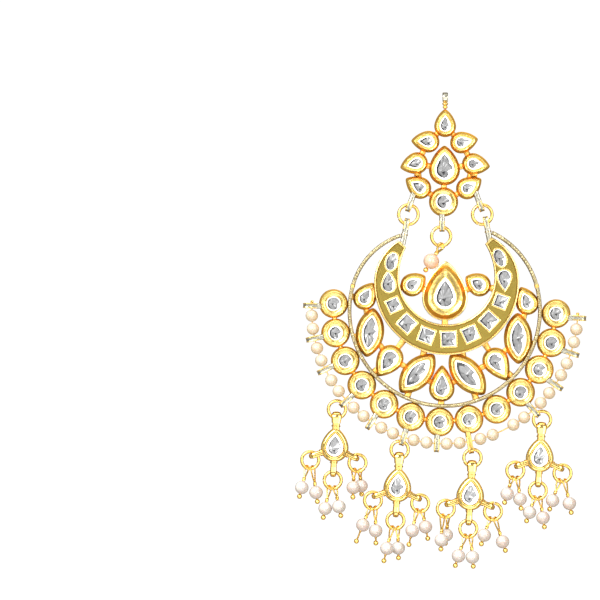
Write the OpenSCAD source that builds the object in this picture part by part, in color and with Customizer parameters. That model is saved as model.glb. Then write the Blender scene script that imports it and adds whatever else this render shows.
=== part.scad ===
// A long gold-plated crescent earring set with foiled glass stones and pearls.
// Millimetres. The front faces -Y, +Z is up, and the origin is where the ear
// post leaves the back of the flower. Everything is drawn in a plan frame
// (across, up, depth towards the viewer) and stood up by module front().

/* [Stones and bezels] */
// Height of a bezel's lip above its back
bezel_h = 2.4; // [2:0.1:3]
// Height of the floor that a stone stands on
seat_h = 1.2; // [1.1:0.05:1.4]
// How far the dished rim lies under the lip
dish = 0.35; // [0.2:0.05:0.5]
// Width of the lip round a bezel
lip_w = 0.3; // [0.2:0.05:0.4]
// Width of the rim round a small stone
rim_w = 1.1; // [0.9:0.05:1.3]
// Clearance round a stone in its pocket
stone_gap = 0.06; // [0.04:0.01:0.1]
// Height of a stone's table above its floor
stone_h = 0.95; // [0.8:0.05:1]
// Width of the facets between a stone's edge and its table
crown_w = 0.45; // [0.3:0.05:0.55]
// Angle at which a pear's round end turns into its shoulders
shoulder = 15; // [5:1:20]
// Width of a solder tie between two bezels
tie_w = 1.3; // [1:0.1:1.6]
// Depth of a solder tie
tie_h = 1; // [0.8:0.05:1.05]

/* [Flower] */
// Half width of the flower's middle pear
flower_mid_r = 3.45; // [3.3:0.05:3.6]
// Half width of a petal
petal_r = 2.42; // [2.35:0.01:2.5]
// Reach of a petal's tip from the middle of its round end
petal_reach = 3.9; // [3.6:0.05:4.2]
// Radius of the flower's round lowest bezel
flower_round_r = 3.25; // [3.1:0.05:3.35]
// Length of the ear post behind the flower
post_l = 10; // [8:0.5:12]
// Radius of the ear post
post_r = 0.45; // [0.35:0.05:0.5]
// Radius of the hole in the loop for an ear chain
chain_hole_r = 0.55; // [0.4:0.05:0.6]

/* [Crescent] */
// Radius of the crescent's lower edge
crescent_r = 15.95; // [15.8:0.05:16.2]
// Radius of the crescent's horns outside
horn_r = 11; // [10.5:0.1:11.5]
// Radius of the opening inside the crescent
opening_r = 10.5; // [10.3:0.05:10.6]
// Radius of the opening's upper sides
opening_side_r = 14; // [13.5:0.1:14.5]
// How far the opening's middle lies above the crescent's
opening_up = 1.28; // [1.1:0.02:1.4]
// Angle from upright at which the horns are cut off
horn_cut = 47; // [45:0.5:49]
// Turn of the crescent in the hand-made piece
crescent_turn = 2; // [0:0.5:3]
// Thickness of the crescent's flat face
face_h = 2.1; // [1.9:0.05:2.2]
// Width of the raised edges on the crescent
edge_w = 0.5; // [0.4:0.05:0.6]
// Height of the raised edges over the face
edge_h = 0.35; // [0.2:0.05:0.4]
// How far the row of stones lies outside the middle of the crescent's band
crescent_row_out = 0.17; // [0.1:0.01:0.25]

/* [Main pear] */
// Half width of the main pear's bezel
main_r = 4.7; // [4.5:0.05:4.8]
// Reach of the main pear's tip
main_reach = 7.5; // [7.2:0.1:7.8]
// How far the main pear's base plate stands out round it
main_plate_w = 0.35; // [0.2:0.05:0.5]
// Width of the main pear's rim
main_rim_w = 2.25; // [2:0.05:2.4]
// Height of the main pear's lip
main_h = 3; // [2.7:0.1:3.3]

/* [Hoop and rim] */
// Radius of the hoop under the crescent
hoop_r = 20.95; // [20.9:0.05:21]
// Thickness of the hoop's strip
hoop_t = 0.9; // [0.8:0.05:1]
// Depth of the hoop's strip
hoop_h = 1.8; // [1.5:0.1:2]
// How far the round bezels are sunk into the hoop
rim_sink = 0.09; // [0.06:0.01:0.14]
// Number of round bezels in the row
rim_n = 13; // [13:1:13]
// Radius of a round bezel
rim_bezel_r = 3.19; // [3.16:0.01:3.22]
// Gap between two neighbours in the row
rim_gap = 0.09; // [0.06:0.01:0.12]
// Radius of the stone in a round bezel
rim_stone_r = 1.65; // [1.4:0.05:1.8]
// Turn of the whole row in the hand-made piece
rim_turn = -2.6; // [-4:0.1:0]

/* [Pearls and wire] */
// Radius of a pearl on the rim
rim_pearl_r = 1.38; // [1.3:0.01:1.4]
// Gap between the two pearls of a pair on the rim
pair_gap = 0.11; // [0.1:0.01:0.14]
// Clearance between the round bezels and the row of pearls
pearl_clear = 0.19; // [0.15:0.01:0.25]
// Radius of the thread through the rim pearls
thread_r = 0.15; // [0.1:0.01:0.18]
// Radius of a drop's pearl
drop_pearl_r = 1.5; // [1.4:0.02:1.52]
// Radius of the pearl under the flower
centre_pearl_r = 1.76; // [1.6:0.02:1.8]
// Radius of the hole drilled through a pearl
drill_r = 0.34; // [0.3:0.01:0.4]
// Radius of the wire of the link rings
ring_wire_r = 0.3; // [0.25:0.01:0.31]
// Radius of the wire of a head pin
pin_wire_r = 0.17; // [0.14:0.01:0.18]
// Radius of the ball at a head pin's end
pin_ball_r = 0.5; // [0.4:0.02:0.55]

/* [Drops] */
// Half width of a drop's pear
drop_r = 3.08; // [3:0.02:3.12]
// Reach of a drop pear's tip
drop_reach = 4.7; // [4.5:0.05:4.9]
// Width of a drop's cast rim
drop_rim_w = 1.2; // [1:0.05:1.3]
// How far a drop's pear hangs under the middle of its ring
drop_hang = 8.5; // [8.4:0.05:8.6]
// Lean of the drops in the photographed piece
drop_lean = -3.4; // [-4:0.1:0]
// Angle of a drop's side arms below level
arm_fall = 22.4; // [21:0.2:24]

/* [Hidden] */
$fn = 48;
far = 60;
slack = 0.02;
// Two outlines that meet smoothly lap over each other, one a hair wider
seam = 0.01;
lap = 0.15;
// Depth of the middle of every loop, ring and pearl
mid_h = 1.2;
// Outer width and hole width of a loop, seen from its side
loop_w = 2;
loop_hole_w = 1.14;
// Metal left at the end of a loop
loop_end = 0.48;
loop_t = 1.2;
// Straight part of the hole in a loop on a stem
stem_hole_l = 1.1;
// How far a solder tie runs into the crescent
tie_grip = 0.6;
ring_r = 1.9;
// Clearance of a drop's ring in its loop
ring_play = 0.22;

function below(a, r) = [r * sin(a), -r * cos(a)];
function along(p, q, s) = p + (q - p) * s / norm(q - p);
function unit(v) = v / norm(v);

// Each bezel is a row: kind, across, up, half width, reach, turn of its tip, rim
function spot(row) = [row[1], row[2]];
function pear_row(across, up, r, reach, turn, rim = rim_w) = ["pear", across, up, r, reach, turn, rim];
function round_row(across, up, r, rim) = ["round", across, up, r, r, 0, rim];
leaf_rim_w = 1.35;

flower_rows = [
    pear_row(0.15, 9.2, petal_r, petal_reach, 0),
    pear_row(-3.5, 5.8, petal_r, petal_reach, 87),
    pear_row(-6.05, 1.1, petal_r, petal_reach, 106),
    pear_row(-5.3, -4.4, petal_r, petal_reach, 57),
    round_row(-0.2, -7.45, flower_round_r, 1.45),
    pear_row(4.95, -4.5, petal_r, petal_reach, -56),
    pear_row(6.25, 0.9, petal_r, petal_reach, -99),
    pear_row(3.65, 5.6, petal_r, petal_reach, -78),
    pear_row(0, -0.4, flower_mid_r, 5.5, 0, 1.2),
];
flower_middle = len(flower_rows) - 1;

crescent_at = [0.45, -25.2];
opening_at = [0.1, opening_up];
crescent_row_at = [0, 0.33];
// The opening's lower edge and the crescent's are the two sides of its band
crescent_row_r = (crescent_r + opening_r - opening_up) / 2 + crescent_row_out;
// Stones on the crescent: angle from straight down, kind, half width across the
// crescent, half length or reach along it
crescent_stones = [
    [-111.5, "oval", 1.35, 2.1], [-90, "pear", 1.55, 3.1], [-67.5, "box", 1.45, 1.45],
    [-45, "box", 1.68, 1.68], [-22.3, "box", 1.62, 1.62], [0, "box", 1.68, 1.68],
    [22.3, "box", 1.62, 1.62], [45, "box", 1.68, 1.68], [67.5, "box", 1.45, 1.45],
    [90, "pear", 1.55, 3.1], [111.5, "oval", 1.35, 2.1],
];

main_row = pear_row(0.1, -28.6, main_r, main_reach, -1, main_rim_w);
trio_side_rows = [
    pear_row(-7.15, -25.75, 2.55, 3.6, -56),
    pear_row(7.7, -25.75, 2.55, 3.6, 59),
];

hoop_at = [0.05, -31.4];
// Bezels inside the hoop: kind, then shares of the hoop's radius for across and up
// from its middle, half width and reach, and the turn of the tip
inner_shares = [
    ["pear", -0.8425, 0.1289, 0.1217, 0.1933, -30],
    ["leaf", -0.7852, -0.2291, 0.1504, 0.2697, -8],
    ["pear", -0.5704, -0.4964, 0.1399, 0.2387, 145],
    ["leaf", -0.2888, -0.6587, 0.1527, 0.2745, -42],
    ["pear", -0.031, -0.821, 0.136, 0.2578, -1],
    ["leaf", 0.2387, -0.6706, 0.1551, 0.284, 41],
    ["pear", 0.5322, -0.5227, 0.1384, 0.253, -149],
    ["leaf", 0.7709, -0.2912, 0.1513, 0.2792, 1],
    ["pear", 0.8687, 0.0764, 0.1217, 0.1909, 22],
];
inner_rows = [for (row = inner_shares) [row[0], hoop_at[0] + row[1] * hoop_r, hoop_at[1] + row[2] * hoop_r,
    row[3] * hoop_r, row[4] * hoop_r, row[5], row[0] == "leaf" ? leaf_rim_w : rim_w]];

rim_row_r = hoop_r + hoop_t / 2 + rim_bezel_r - rim_sink;
rim_step = 2 * asin((rim_bezel_r + rim_gap / 2) / rim_row_r);
function rim_angle(i) = rim_turn + (i - (rim_n - 1) / 2) * rim_step;
function rim_spot(i) = hoop_at + below(rim_angle(i), rim_row_r);
// How far each loop of the rim leans from the middle of its bezel
eye_lean = [1.5, 0.5, -0.5, 0.6, -0.4, -0.2, -0.8, -1.9, -1.7, -1.2, -1.9, -1.8, -1.6];
// The bezel that has no loop, and the ones that carry drops
bare_eye = 8;
drop_eyes = [3, 5, 7, 9];
function eye_angle(i) = rim_angle(i) + eye_lean[i];
eye_sink = 0.49;
// What the slot of a rim loop leaves of its length
eye_solid = 2.35;
eye_root = rim_row_r + rim_bezel_r - eye_sink;
pearl_row_r = rim_row_r + rim_bezel_r + pearl_clear + rim_pearl_r;
eye_over = 1.99;
eye_tip = pearl_row_r + eye_over;
// The third drop's loop is a longer one
long_eye = 7;
long_eye_extra = 0.8;
function eye_end(i) = eye_tip + (i == long_eye ? long_eye_extra : 0);

// Half of the angle between the two pearls of a pair
pair_half = asin((rim_pearl_r + pair_gap / 2) / pearl_row_r);
pearl_angles = [for (i = [0:rim_n - 2]) for (s = [-1, 1])
    (eye_angle(i) + eye_angle(i + 1)) / 2 + s * pair_half];

// Stems of the loops: across, up, turn from upright of the way they point, length
flower_loops = [[-6.85, -5.9, 160, 4], [6.95, -5.7, -160, 4.2], [-0.55, -10.2, 180, 3.9]];
side_ring_r = 2.15;
hinge_up = -8.1;
side_rings = [[-7.95, hinge_up - side_ring_r], [8.3, hinge_up - side_ring_r]];
// The loops on the horns run from the middle of a horn's end to a link ring: side,
// ring, angle from straight down at which they cross its wire, reach past the wire
horn_hooks = [[-1, side_rings[0], -11.2, 1.38], [1, side_rings[1], 25.7, 1.62]];
horn_shift = 0.245;
horn_mid_r = (crescent_r + opening_r) / 2;
function turned(p, a) = [p[0] * cos(a) - p[1] * sin(a), p[0] * sin(a) + p[1] * cos(a)];
function horn_root(s) = crescent_at + turned([horn_shift, 0] + horn_mid_r * [s * sin(horn_cut - 1),
    cos(horn_cut - 1)], crescent_turn);
horn_loops = [for (h = horn_hooks) let (root = horn_root(h[0]), v = h[1] + below(h[2], side_ring_r) - root)
    [root[0], root[1], atan2(-v[0], v[1]), norm(v) + h[3]]];
centre_ring_r = 2.1;
centre_ring_at = [-0.75, -15.05];

// Pearls of a drop: ring (-1 left, 0 low, 1 right), side of the ring that the pin
// hangs on, across, down and towards the viewer from the ring, ball under the pearl
drop_pins = [
    [[-1, -1, -1.5, 6.1, 0.2, 2.1], [-1, 1, 1.7, 7, 0, 2.1], [0, -1, -1.3, 6.3, 0, 2.1],
     [0, 1, 1.7, 5.7, 0.5, 2.1], [1, -1, -0.6, 5.4, 1.4, 2.3], [1, 1, 1.1, 5, -1.4, 2.1]],
    [[-1, -1, -1.9, 5.5, 0.5, 3.9], [-1, 1, 1, 6.6, -0.3, 2.8], [0, -1, -1.5, 6.2, 0.9, 2.9],
     [0, 1, 1, 6.05, -1, 2.3], [1, -1, -1.4, 6.1, 0.5, 3.2], [1, 1, 1.5, 5.1, -0.3, 2.7]],
    [[-1, -1, -0.6, 6.9, 1.4, 2.1], [-1, 1, 0.5, 5.8, -1.5, 2.1], [0, -1, -1.8, 6.1, 0.2, 2.3],
     [0, 1, 1.3, 6.2, -0.2, 2.1], [1, -1, -1.6, 5.3, 0.2, 2.1], [1, 1, 2.5, 6.5, 0, 2.1]],
    [[-1, -1, -1.5, 5.2, 0.8, 2.1], [-1, 1, 1.4, 6.2, 0.3, 2.1], [0, -1, -1.5, 4.9, -0.6, 2.1],
     [0, 1, 1.5, 5.9, 0, 2.1], [1, -1, -1.8, 6.1, -0.5, 2.1], [1, 1, 1.9, 6.5, 0.2, 2.1]],
];
pin_loop_r = 0.72;
pin_spread = 20;

module front() { rotate([90, 0, 0]) children(); }
module at(p) { translate([p[0], p[1], 0]) children(); }
module place(row) { at(spot(row)) rotate(row[5]) children(); }

// Outline of a pear, round end at the origin and tip upwards
module pear_2d(r, reach, inset) {
    off = (reach * reach - r * r) / (2 * (r - reach * sin(shoulder)));
    foot = (r - inset) * sin(shoulder);
    big = off + r - inset + seam;
    intersection() {
        circle(r - inset);
        translate([-far, -2 * far + foot + lap]) square(2 * far);
    }
    intersection() {
        translate([off * cos(shoulder), -off * sin(shoulder)]) circle(big, $fn = 96);
        translate([-off * cos(shoulder), -off * sin(shoulder)]) circle(big, $fn = 96);
        translate([-far, foot]) square(2 * far);
    }
}

// Outline of a leaf with two tips
module leaf_2d(r, reach, inset) {
    big = (reach * reach + r * r) / (2 * r);
    intersection() {
        translate([big - r, 0]) circle(big - inset, $fn = 96);
        translate([r - big, 0]) circle(big - inset, $fn = 96);
    }
}

module outline(row, inset) {
    if (row[0] == "pear") pear_2d(row[3], row[4], inset);
    if (row[0] == "leaf") leaf_2d(row[3], row[4], inset);
    if (row[0] == "round") circle(row[3] - inset);
}

// A cup with a lip and a dished rim
module bezel(row, h = bezel_h) {
    place(row) difference() {
        linear_extrude(h) outline(row, 0);
        translate([0, 0, h - dish]) linear_extrude(h) outline(row, lip_w);
    }
}

// Pockets for the stones, cut once all the metal is joined
module pockets(rows) {
    for (row = rows) place(row) translate([0, 0, seat_h])
        linear_extrude(main_h) outline(row, row[6] - stone_gap);
}

// A flat bar of solder from p to q
module tie(p, q) {
    along_pq = q - p;
    at(p) rotate(atan2(along_pq[1], along_pq[0])) translate([0, -tie_w / 2, 0])
        cube([norm(along_pq), tie_w, tie_h]);
}

// A loop seen edge-on from the front: it points along its own +X
module loop(length, thick, hole_l, end = loop_end) {
    round_x = length - loop_w / 2;
    hole_x = length - end - loop_hole_w / 2;
    translate([0, thick / 2, mid_h]) rotate([90, 0, 0]) linear_extrude(thick) difference() {
        union() {
            translate([0, -loop_w / 2]) square([round_x, loop_w]);
            translate([round_x, 0]) circle(loop_w / 2);
        }
        translate([hole_x, 0]) circle(loop_hole_w / 2);
        translate([hole_x - hole_l, 0]) circle(loop_hole_w / 2);
        translate([hole_x - hole_l, -loop_hole_w / 2]) square([hole_l, loop_hole_w]);
    }
}

module stem_loop(row, thick, hole_l) { at(row) rotate(row[2] + 90) loop(row[3], thick, hole_l); }

module ring(r, wire = ring_wire_r) {
    translate([0, 0, mid_h]) rotate_extrude() translate([r, 0]) circle(wire, $fn = 24);
}

// Points of a stone's outline, for its flat facets
function arc(c, r, a0, a1, n) =
    [for (i = [0:n]) let (a = a0 + (a1 - a0) * i / n) c + r * [cos(a), sin(a)]];
function tail(list) = [for (i = [1:len(list) - 1]) list[i]];
function ring_points(r, n) = [for (i = [0:n - 1]) r * [cos(360 * (i + 0.5) / n), sin(360 * (i + 0.5) / n)]];
function pear_points(r, reach, inset) =
    let (off = (reach * reach - r * r) / (2 * (r - reach * sin(shoulder))), big = off + r - inset,
         c = off * [cos(shoulder), -sin(shoulder)], top = acos(c[0] / big))
    concat(arc(c, big, 180 - top, 180 - shoulder, 3),
           tail(arc([0, 0], r - inset, 180 - shoulder, 360 + shoulder, 6)),
           tail([for (p = arc([-c[0], c[1]], big, shoulder, top, 3)) p]));
function leaf_points(r, reach, inset) =
    let (big = (reach * reach + r * r) / (2 * r), c = big - r, top = acos(c / (big - inset)))
    concat(tail(arc([c, 0], big - inset, 180 - top, 180 + top, 6)),
           tail(arc([-c, 0], big - inset, -top, top, 6)));
function box_points(w, h) = [[-w, -h], [w, -h], [w, h], [-w, h]];
function open_ring(list) = norm(list[0] - list[len(list) - 1]) < 0.001 ? tail(list) : list;
function row_points(row, inset) =
    row[0] == "pear" ? open_ring(pear_points(row[3], row[4], inset)) :
    row[0] == "leaf" ? leaf_points(row[3], row[4], inset) : ring_points(row[3] - inset, 12);

// A cut stone: a girdle, a crown of flat facets and a table
module cut_stone(girdle, table, h = stone_h) {
    n = len(girdle);
    girdle_h = h * 0.55;
    points = concat([for (p = girdle) [p[0], p[1], 0]], [for (p = girdle) [p[0], p[1], girdle_h]],
                    [for (p = table) [p[0], p[1], h]]);
    sides = [for (k = [0, 1]) for (i = [0:n - 1])
        [k * n + i, (k + 1) * n + i, (k + 1) * n + (i + 1) % n, k * n + (i + 1) % n]];
    bottom = [for (i = [0:n - 1]) i];
    top = [for (i = [0:n - 1]) 3 * n - 1 - i];
    translate([0, 0, seat_h + slack]) polyhedron(points, concat([bottom], sides, [top]));
}

module stone(row, h = stone_h) {
    place(row) cut_stone(row_points(row, row[6]), row_points(row, row[6] + crown_w), h);
}

module flower_frame() {
    color("gold") front() difference() {
        union() {
            for (row = flower_rows) bezel(row);
            for (i = [0:flower_middle - 1])
                tie(spot(flower_rows[i]), spot(flower_rows[(i + 1) % flower_middle]));
            for (i = [2, 4, 6]) tie(spot(flower_rows[flower_middle]), spot(flower_rows[i]));
            for (row = flower_loops) stem_loop(row, loop_t, stem_hole_l);
            chain_loop();
        }
        pockets(flower_rows);
    }
}

chain_loop_up = 15.55;
chain_stem = 3.4;
module chain_loop() {
    at([0.15, chain_loop_up]) translate([-loop_t / 2, 0, mid_h]) rotate([90, 0, 90]) difference() {
        linear_extrude(loop_t) union() {
            circle(loop_w / 2 + 0.1);
            translate([-chain_stem, -loop_w / 4]) square([chain_stem, loop_w / 2]);
        }
        translate([0, 0, -1]) cylinder(r = chain_hole_r, h = loop_t + 2);
    }
}

module ear_post() { color("silver") rotate([-90, 0, 0]) cylinder(r = post_r, h = post_l); }

module crescent_outer(inset) {
    difference() {
        circle(crescent_r - inset, $fn = 144);
        translate([-far, 0]) square(2 * far);
    }
    for (s = [-1, 1]) difference() {
        translate([s * (crescent_r - horn_r), 0]) circle(horn_r - inset, $fn = 96);
        translate([-far, -2 * far]) square(2 * far);
    }
}

module crescent_opening(inset) {
    side = opening_side_r - opening_r;
    translate(opening_at) {
        difference() {
            circle(opening_r + inset, $fn = 96);
            translate([-far, 0]) square(2 * far);
        }
        intersection() {
            translate([side, 0]) circle(opening_side_r + inset, $fn = 96);
            translate([-side, 0]) circle(opening_side_r + inset, $fn = 96);
            translate([-far, 0]) square(2 * far);
        }
    }
}

module horn_wedge(angle) {
    polygon([[0, 0], [-far * tan(angle), far], [far * tan(angle), far]]);
}

module crescent_plate() {
    at(crescent_at) rotate(crescent_turn) difference() {
        linear_extrude(face_h + edge_h) difference() {
            crescent_outer(0);
            crescent_opening(0);
            horn_wedge(horn_cut);
        }
        translate([0, 0, face_h]) linear_extrude(far) difference() {
            crescent_outer(edge_w);
            crescent_opening(edge_w);
            horn_wedge(horn_cut + 2);
        }
    }
}

module on_crescent(row) {
    at(crescent_row_at) rotate(row[0]) translate([0, -crescent_row_r, 0]) children();
}

function crescent_cut(row, grow) =
    row[1] == "box" ? box_points(row[3] + grow, row[2] + grow) :
    row[1] == "oval" ? [for (p = ring_points(1, 12)) [p[0] * (row[3] + grow), p[1] * (row[2] + grow)]] :
    [for (p = open_ring(pear_points(row[2], row[3], -grow))) [row[2] / 3 - p[1], p[0]]];

module crescent_pockets() {
    for (row = crescent_stones) on_crescent(row) translate([0, 0, seat_h])
        linear_extrude(face_h) polygon(crescent_cut(row, stone_gap));
}

module hoop_strip(r, from, to) {
    rotate(from - 90) translate([0, 0, mid_h - hoop_h / 2]) rotate_extrude(angle = to - from, $fn = 144)
        translate([r - hoop_t / 2, 0]) square([hoop_t, hoop_h]);
}

// The hoop closes in towards the horns: each end is a smaller arc that starts
// hoop_bend from straight down, in a soldered joint, and runs to the horn's stem
hoop_bend = 105;
hoop_end = [0.5, 1.5];
joint_l = 0.7;
joint_w = 0.06;
// Angle left open between the two arcs inside a joint
joint_open = 0.1;
module hoop() {
    at(hoop_at) hoop_strip(hoop_r, joint_open - hoop_bend, hoop_bend - joint_open);
    for (row = horn_loops) {
        s = sign(row[0]);
        on_rim(s * hoop_bend, hoop_r) translate([0, 0, mid_h])
            cube([joint_l, hoop_t + 2 * joint_w, hoop_h + 2 * joint_w], center = true);
        target = [row[0] + s * hoop_end[0], row[1] + hoop_end[1]] - hoop_at;
        reach = norm(target);
        at_angle = 180 - s * atan2(target[0], target[1]);
        shift = (hoop_r * hoop_r - reach * reach)
            / (2 * (hoop_r - reach * cos(at_angle - hoop_bend)));
        c = below(s * hoop_bend, shift);
        end = target - c;
        end_angle = 180 - s * atan2(end[0], end[1]);
        at(hoop_at + c) hoop_strip(hoop_r - shift, s > 0 ? hoop_bend : -end_angle,
                                   s > 0 ? end_angle : -hoop_bend);
    }
}

// How far a round bezel draws in towards its back, and its lip's width and drop
back_draw = 0.35;
lip_slope = 0.2;
lip_drop = 0.15;
module rim_bezel() {
    pocket_r = rim_stone_r + stone_gap;
    rotate_extrude() polygon([
        [0, 0], [rim_bezel_r - back_draw, 0], [rim_bezel_r, seat_h], [rim_bezel_r, bezel_h - lip_drop],
        [rim_bezel_r - lip_slope, bezel_h], [pocket_r, bezel_h - dish - lip_slope / 2],
        [pocket_r, seat_h], [0, seat_h],
    ]);
}

module on_rim(angle, r) { at(hoop_at) rotate(angle) translate([0, -r, 0]) children(); }

module chand_frame() {
    color("goldenrod") front() {
        difference() {
            union() {
                crescent_plate();
                main_plate();
                bezel(main_row, main_h);
                for (row = concat(trio_side_rows, inner_rows)) bezel(row);
                chand_ties();
                hoop();
            }
            pockets(concat([main_row], trio_side_rows, inner_rows));
            at(crescent_at) rotate(crescent_turn) crescent_pockets();
        }
        for (i = [0:rim_n - 1]) {
            on_rim(rim_angle(i), rim_row_r) rim_bezel();
            if (i != bare_eye) on_rim(eye_angle(i), eye_root) rotate(-90)
                loop(eye_end(i) - eye_root, loop_t, eye_end(i) - eye_root - eye_solid);
        }
        for (row = horn_loops) stem_loop(row, loop_t, stem_hole_l);
    }
}

module chand_ties() {
    opening_c = crescent_at + opening_at;
    for (row = trio_side_rows) {
        tie(spot(row), spot(main_row));
        tie(spot(row), along(opening_c, spot(row), opening_r + tie_grip));
    }
    tie(spot(main_row), [main_row[1], opening_c[1] - opening_r - tie_grip]);
    for (row = inner_rows) tie(spot(row), along(hoop_at, spot(row), hoop_r));
    for (i = [0:len(inner_rows) - 2]) tie(spot(inner_rows[i]), spot(inner_rows[i + 1]));
    for (i = [0, 2, 3, 5, 6, 8])
        tie(spot(inner_rows[i]), along(crescent_at, spot(inner_rows[i]), crescent_r - tie_grip));
    for (i = [0:rim_n - 2]) tie(rim_spot(i), rim_spot(i + 1));
    for (i = [0:rim_n - 1]) tie(rim_spot(i), along(hoop_at, rim_spot(i), hoop_r));
}

module main_plate() {
    place(main_row) linear_extrude(seat_h - 0.1) pear_2d(main_r + main_plate_w, main_reach + 0.85, 0);
}

module side_ring(p) { color("khaki") front() at(p) ring(side_ring_r); }

module centre_ring() { color("khaki") front() at(centre_ring_at) ring(centre_ring_r); }

// A head pin that hangs from a ring's wire: its loop goes round the wire at
// start, and the pin runs on through the pearl at bead to its ball
module head_pin(start, bead, wire_way, loop_r, bead_r, ball) {
    way = unit(bead - start);
    face = unit(wire_way - (wire_way * way) * way);
    side = cross(face, way);
    frame = [[side[0], face[0], way[0], start[0]], [side[1], face[1], way[1], start[1]],
             [side[2], face[2], way[2], start[2]], [0, 0, 0, 1]];
    length = norm(bead - start);
    wrap_top = loop_r + pin_wire_r * 0.5;
    multmatrix(frame) {
        rotate([90, 0, 0]) rotate_extrude() translate([loop_r, 0]) circle(pin_wire_r, $fn = 16);
        translate([0, 0, loop_r]) cylinder(r = pin_wire_r, h = length + ball - loop_r, $fn = 16);
        translate([0, 0, wrap_top]) cylinder(r = 0.38, h = length - bead_r - 0.1 - wrap_top, $fn = 24);
        translate([0, 0, length + ball]) sphere(pin_ball_r, $fn = 24);
    }
}

module pearl(p, r, way) {
    u = unit(way);
    translate(p) rotate([0, acos(u[2]), atan2(u[1], u[0])]) difference() {
        sphere(r, $fn = 48);
        cylinder(r = drill_r, h = 3 * r, center = true, $fn = 24);
    }
}

centre_start = [centre_ring_at[0], centre_ring_at[1] - centre_ring_r, mid_h];
centre_bead = [-2.9, -20.5, mid_h];
module centre_pin() {
    color("khaki") front() head_pin(centre_start, centre_bead, [1, 0, 0], 0.95, centre_pearl_r, 2.35);
}
module centre_pearl() {
    color("bisque") front() pearl(centre_bead, centre_pearl_r, centre_bead - centre_start);
}

module crescent_stones() {
    color("white") front() at(crescent_at) rotate(crescent_turn) for (row = crescent_stones)
        on_crescent(row) cut_stone(crescent_cut(row, 0), crescent_cut(row, -crown_w));
}

rim_stone_row = round_row(0, 0, rim_stone_r, 0);
module rim_stones() {
    color("white") front() for (i = [0:rim_n - 1]) on_rim(rim_angle(i), rim_row_r) stone(rim_stone_row);
}

module rim_thread() {
    from = eye_angle(0) - 2.2;
    to = eye_angle(rim_n - 1) + 2.2;
    color("silver") front() at(hoop_at) rotate(from - 90) translate([0, 0, mid_h])
        rotate_extrude(angle = to - from, $fn = 144) translate([pearl_row_r, 0]) circle(thread_r, $fn = 16);
}

module rim_pearls() {
    color("ivory") front() for (a = pearl_angles) on_rim(a, pearl_row_r)
        pearl([0, 0, mid_h], rim_pearl_r, [1, 0, 0]);
}

// Drops are drawn round the middle of their ring, which hangs in a loop of the rim
module on_drop(i) {
    eye = drop_eyes[i];
    on_rim_r = eye_end(eye) - loop_end - ring_wire_r - ring_play + ring_r;
    at(hoop_at + below(eye_angle(eye), on_rim_r)) rotate(drop_lean) children();
}

drop_at = [0, -drop_hang];
low_ring = 7.1;
side_ring_out = 5.2;
side_ring_down = 3;
arm_ring_r = 1.87;
// The neck reaches inside the drop's ring, and the arms into their own rings
neck_root = drop_at[1] + drop_reach - 0.8;
neck_top = 1.25 - ring_r;
neck_t = 1.9;
arm_root = drop_r - 0.68;
arm_tip = 5.8;
arm_t = 1.15;
low_arm_tip = 6.25;
low_arm_t = 1.3;
function drop_ring_at(k) = drop_at + (k == 0 ? [0, -low_ring] : [k * side_ring_out, -side_ring_down]);
drop_row = pear_row(drop_at[0], drop_at[1], drop_r, drop_reach, 0, drop_rim_w);

module drop_ring(i) { color("khaki") front() on_drop(i) ring(ring_r); }

module drop_frame(i) {
    color("gold") front() on_drop(i) {
        difference() {
            bezel(drop_row);
            pockets([drop_row]);
        }
        at([0, neck_root]) rotate(90) loop(neck_top - neck_root, neck_t, 1, 0.5);
        at(drop_at) {
            for (a = [-arm_fall, 180 + arm_fall]) rotate(a)
                translate([arm_root, 0, 0]) loop(arm_tip - arm_root, arm_t, 0.75, 0.4);
            rotate(-90) translate([arm_root, 0, 0]) loop(low_arm_tip - arm_root, low_arm_t, 0.5, 0.45);
        }
    }
}

module drop_stone(i) { color("white") front() on_drop(i) stone(drop_row); }

module drop_links(i) {
    color("khaki") front() on_drop(i) for (k = [-1, 0, 1]) at(drop_ring_at(k)) ring(arm_ring_r);
}

function pin_foot(row) = concat(below(row[1] * pin_spread, arm_ring_r), [0]);
function pin_bead(row) = [row[2], -row[3], row[4]];

module drop_pins(i) {
    color("khaki") front() on_drop(i) for (row = drop_pins[i]) at(drop_ring_at(row[0]))
        translate([0, 0, mid_h])
            head_pin(pin_foot(row), pin_bead(row), [cos(row[1] * pin_spread), sin(row[1] * pin_spread), 0],
                     pin_loop_r, drop_pearl_r, row[5]);
}

module drop_pearls(i) {
    color("ivory") front() on_drop(i) for (row = drop_pins[i]) at(drop_ring_at(row[0]))
        translate([0, 0, mid_h]) pearl(pin_bead(row), drop_pearl_r, pin_bead(row) - pin_foot(row));
}

flower_frame();
ear_post();
chand_frame();
side_ring(side_rings[0]);  // ring_left
side_ring(side_rings[1]);  // ring_right
centre_ring();  // ring_centre
centre_pin();
centre_pearl();
crescent_stones();
rim_stones();
rim_thread();
rim_pearls();
color("white") front() stone(main_row, 1.5);  // main_stone
for (i = [0, 1])
    color("white") front() stone(trio_side_rows[i]);
for (i = [0:flower_middle])
    color("white") front() stone(flower_rows[i]);
for (i = [0:len(inner_rows) - 1])
    color("white") front() stone(inner_rows[i]);
for (i = [0:len(drop_eyes) - 1]) {
    drop_ring(i);
    drop_frame(i);
    drop_stone(i);
    drop_links(i);
    drop_pins(i);
    drop_pearls(i);
}
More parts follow.
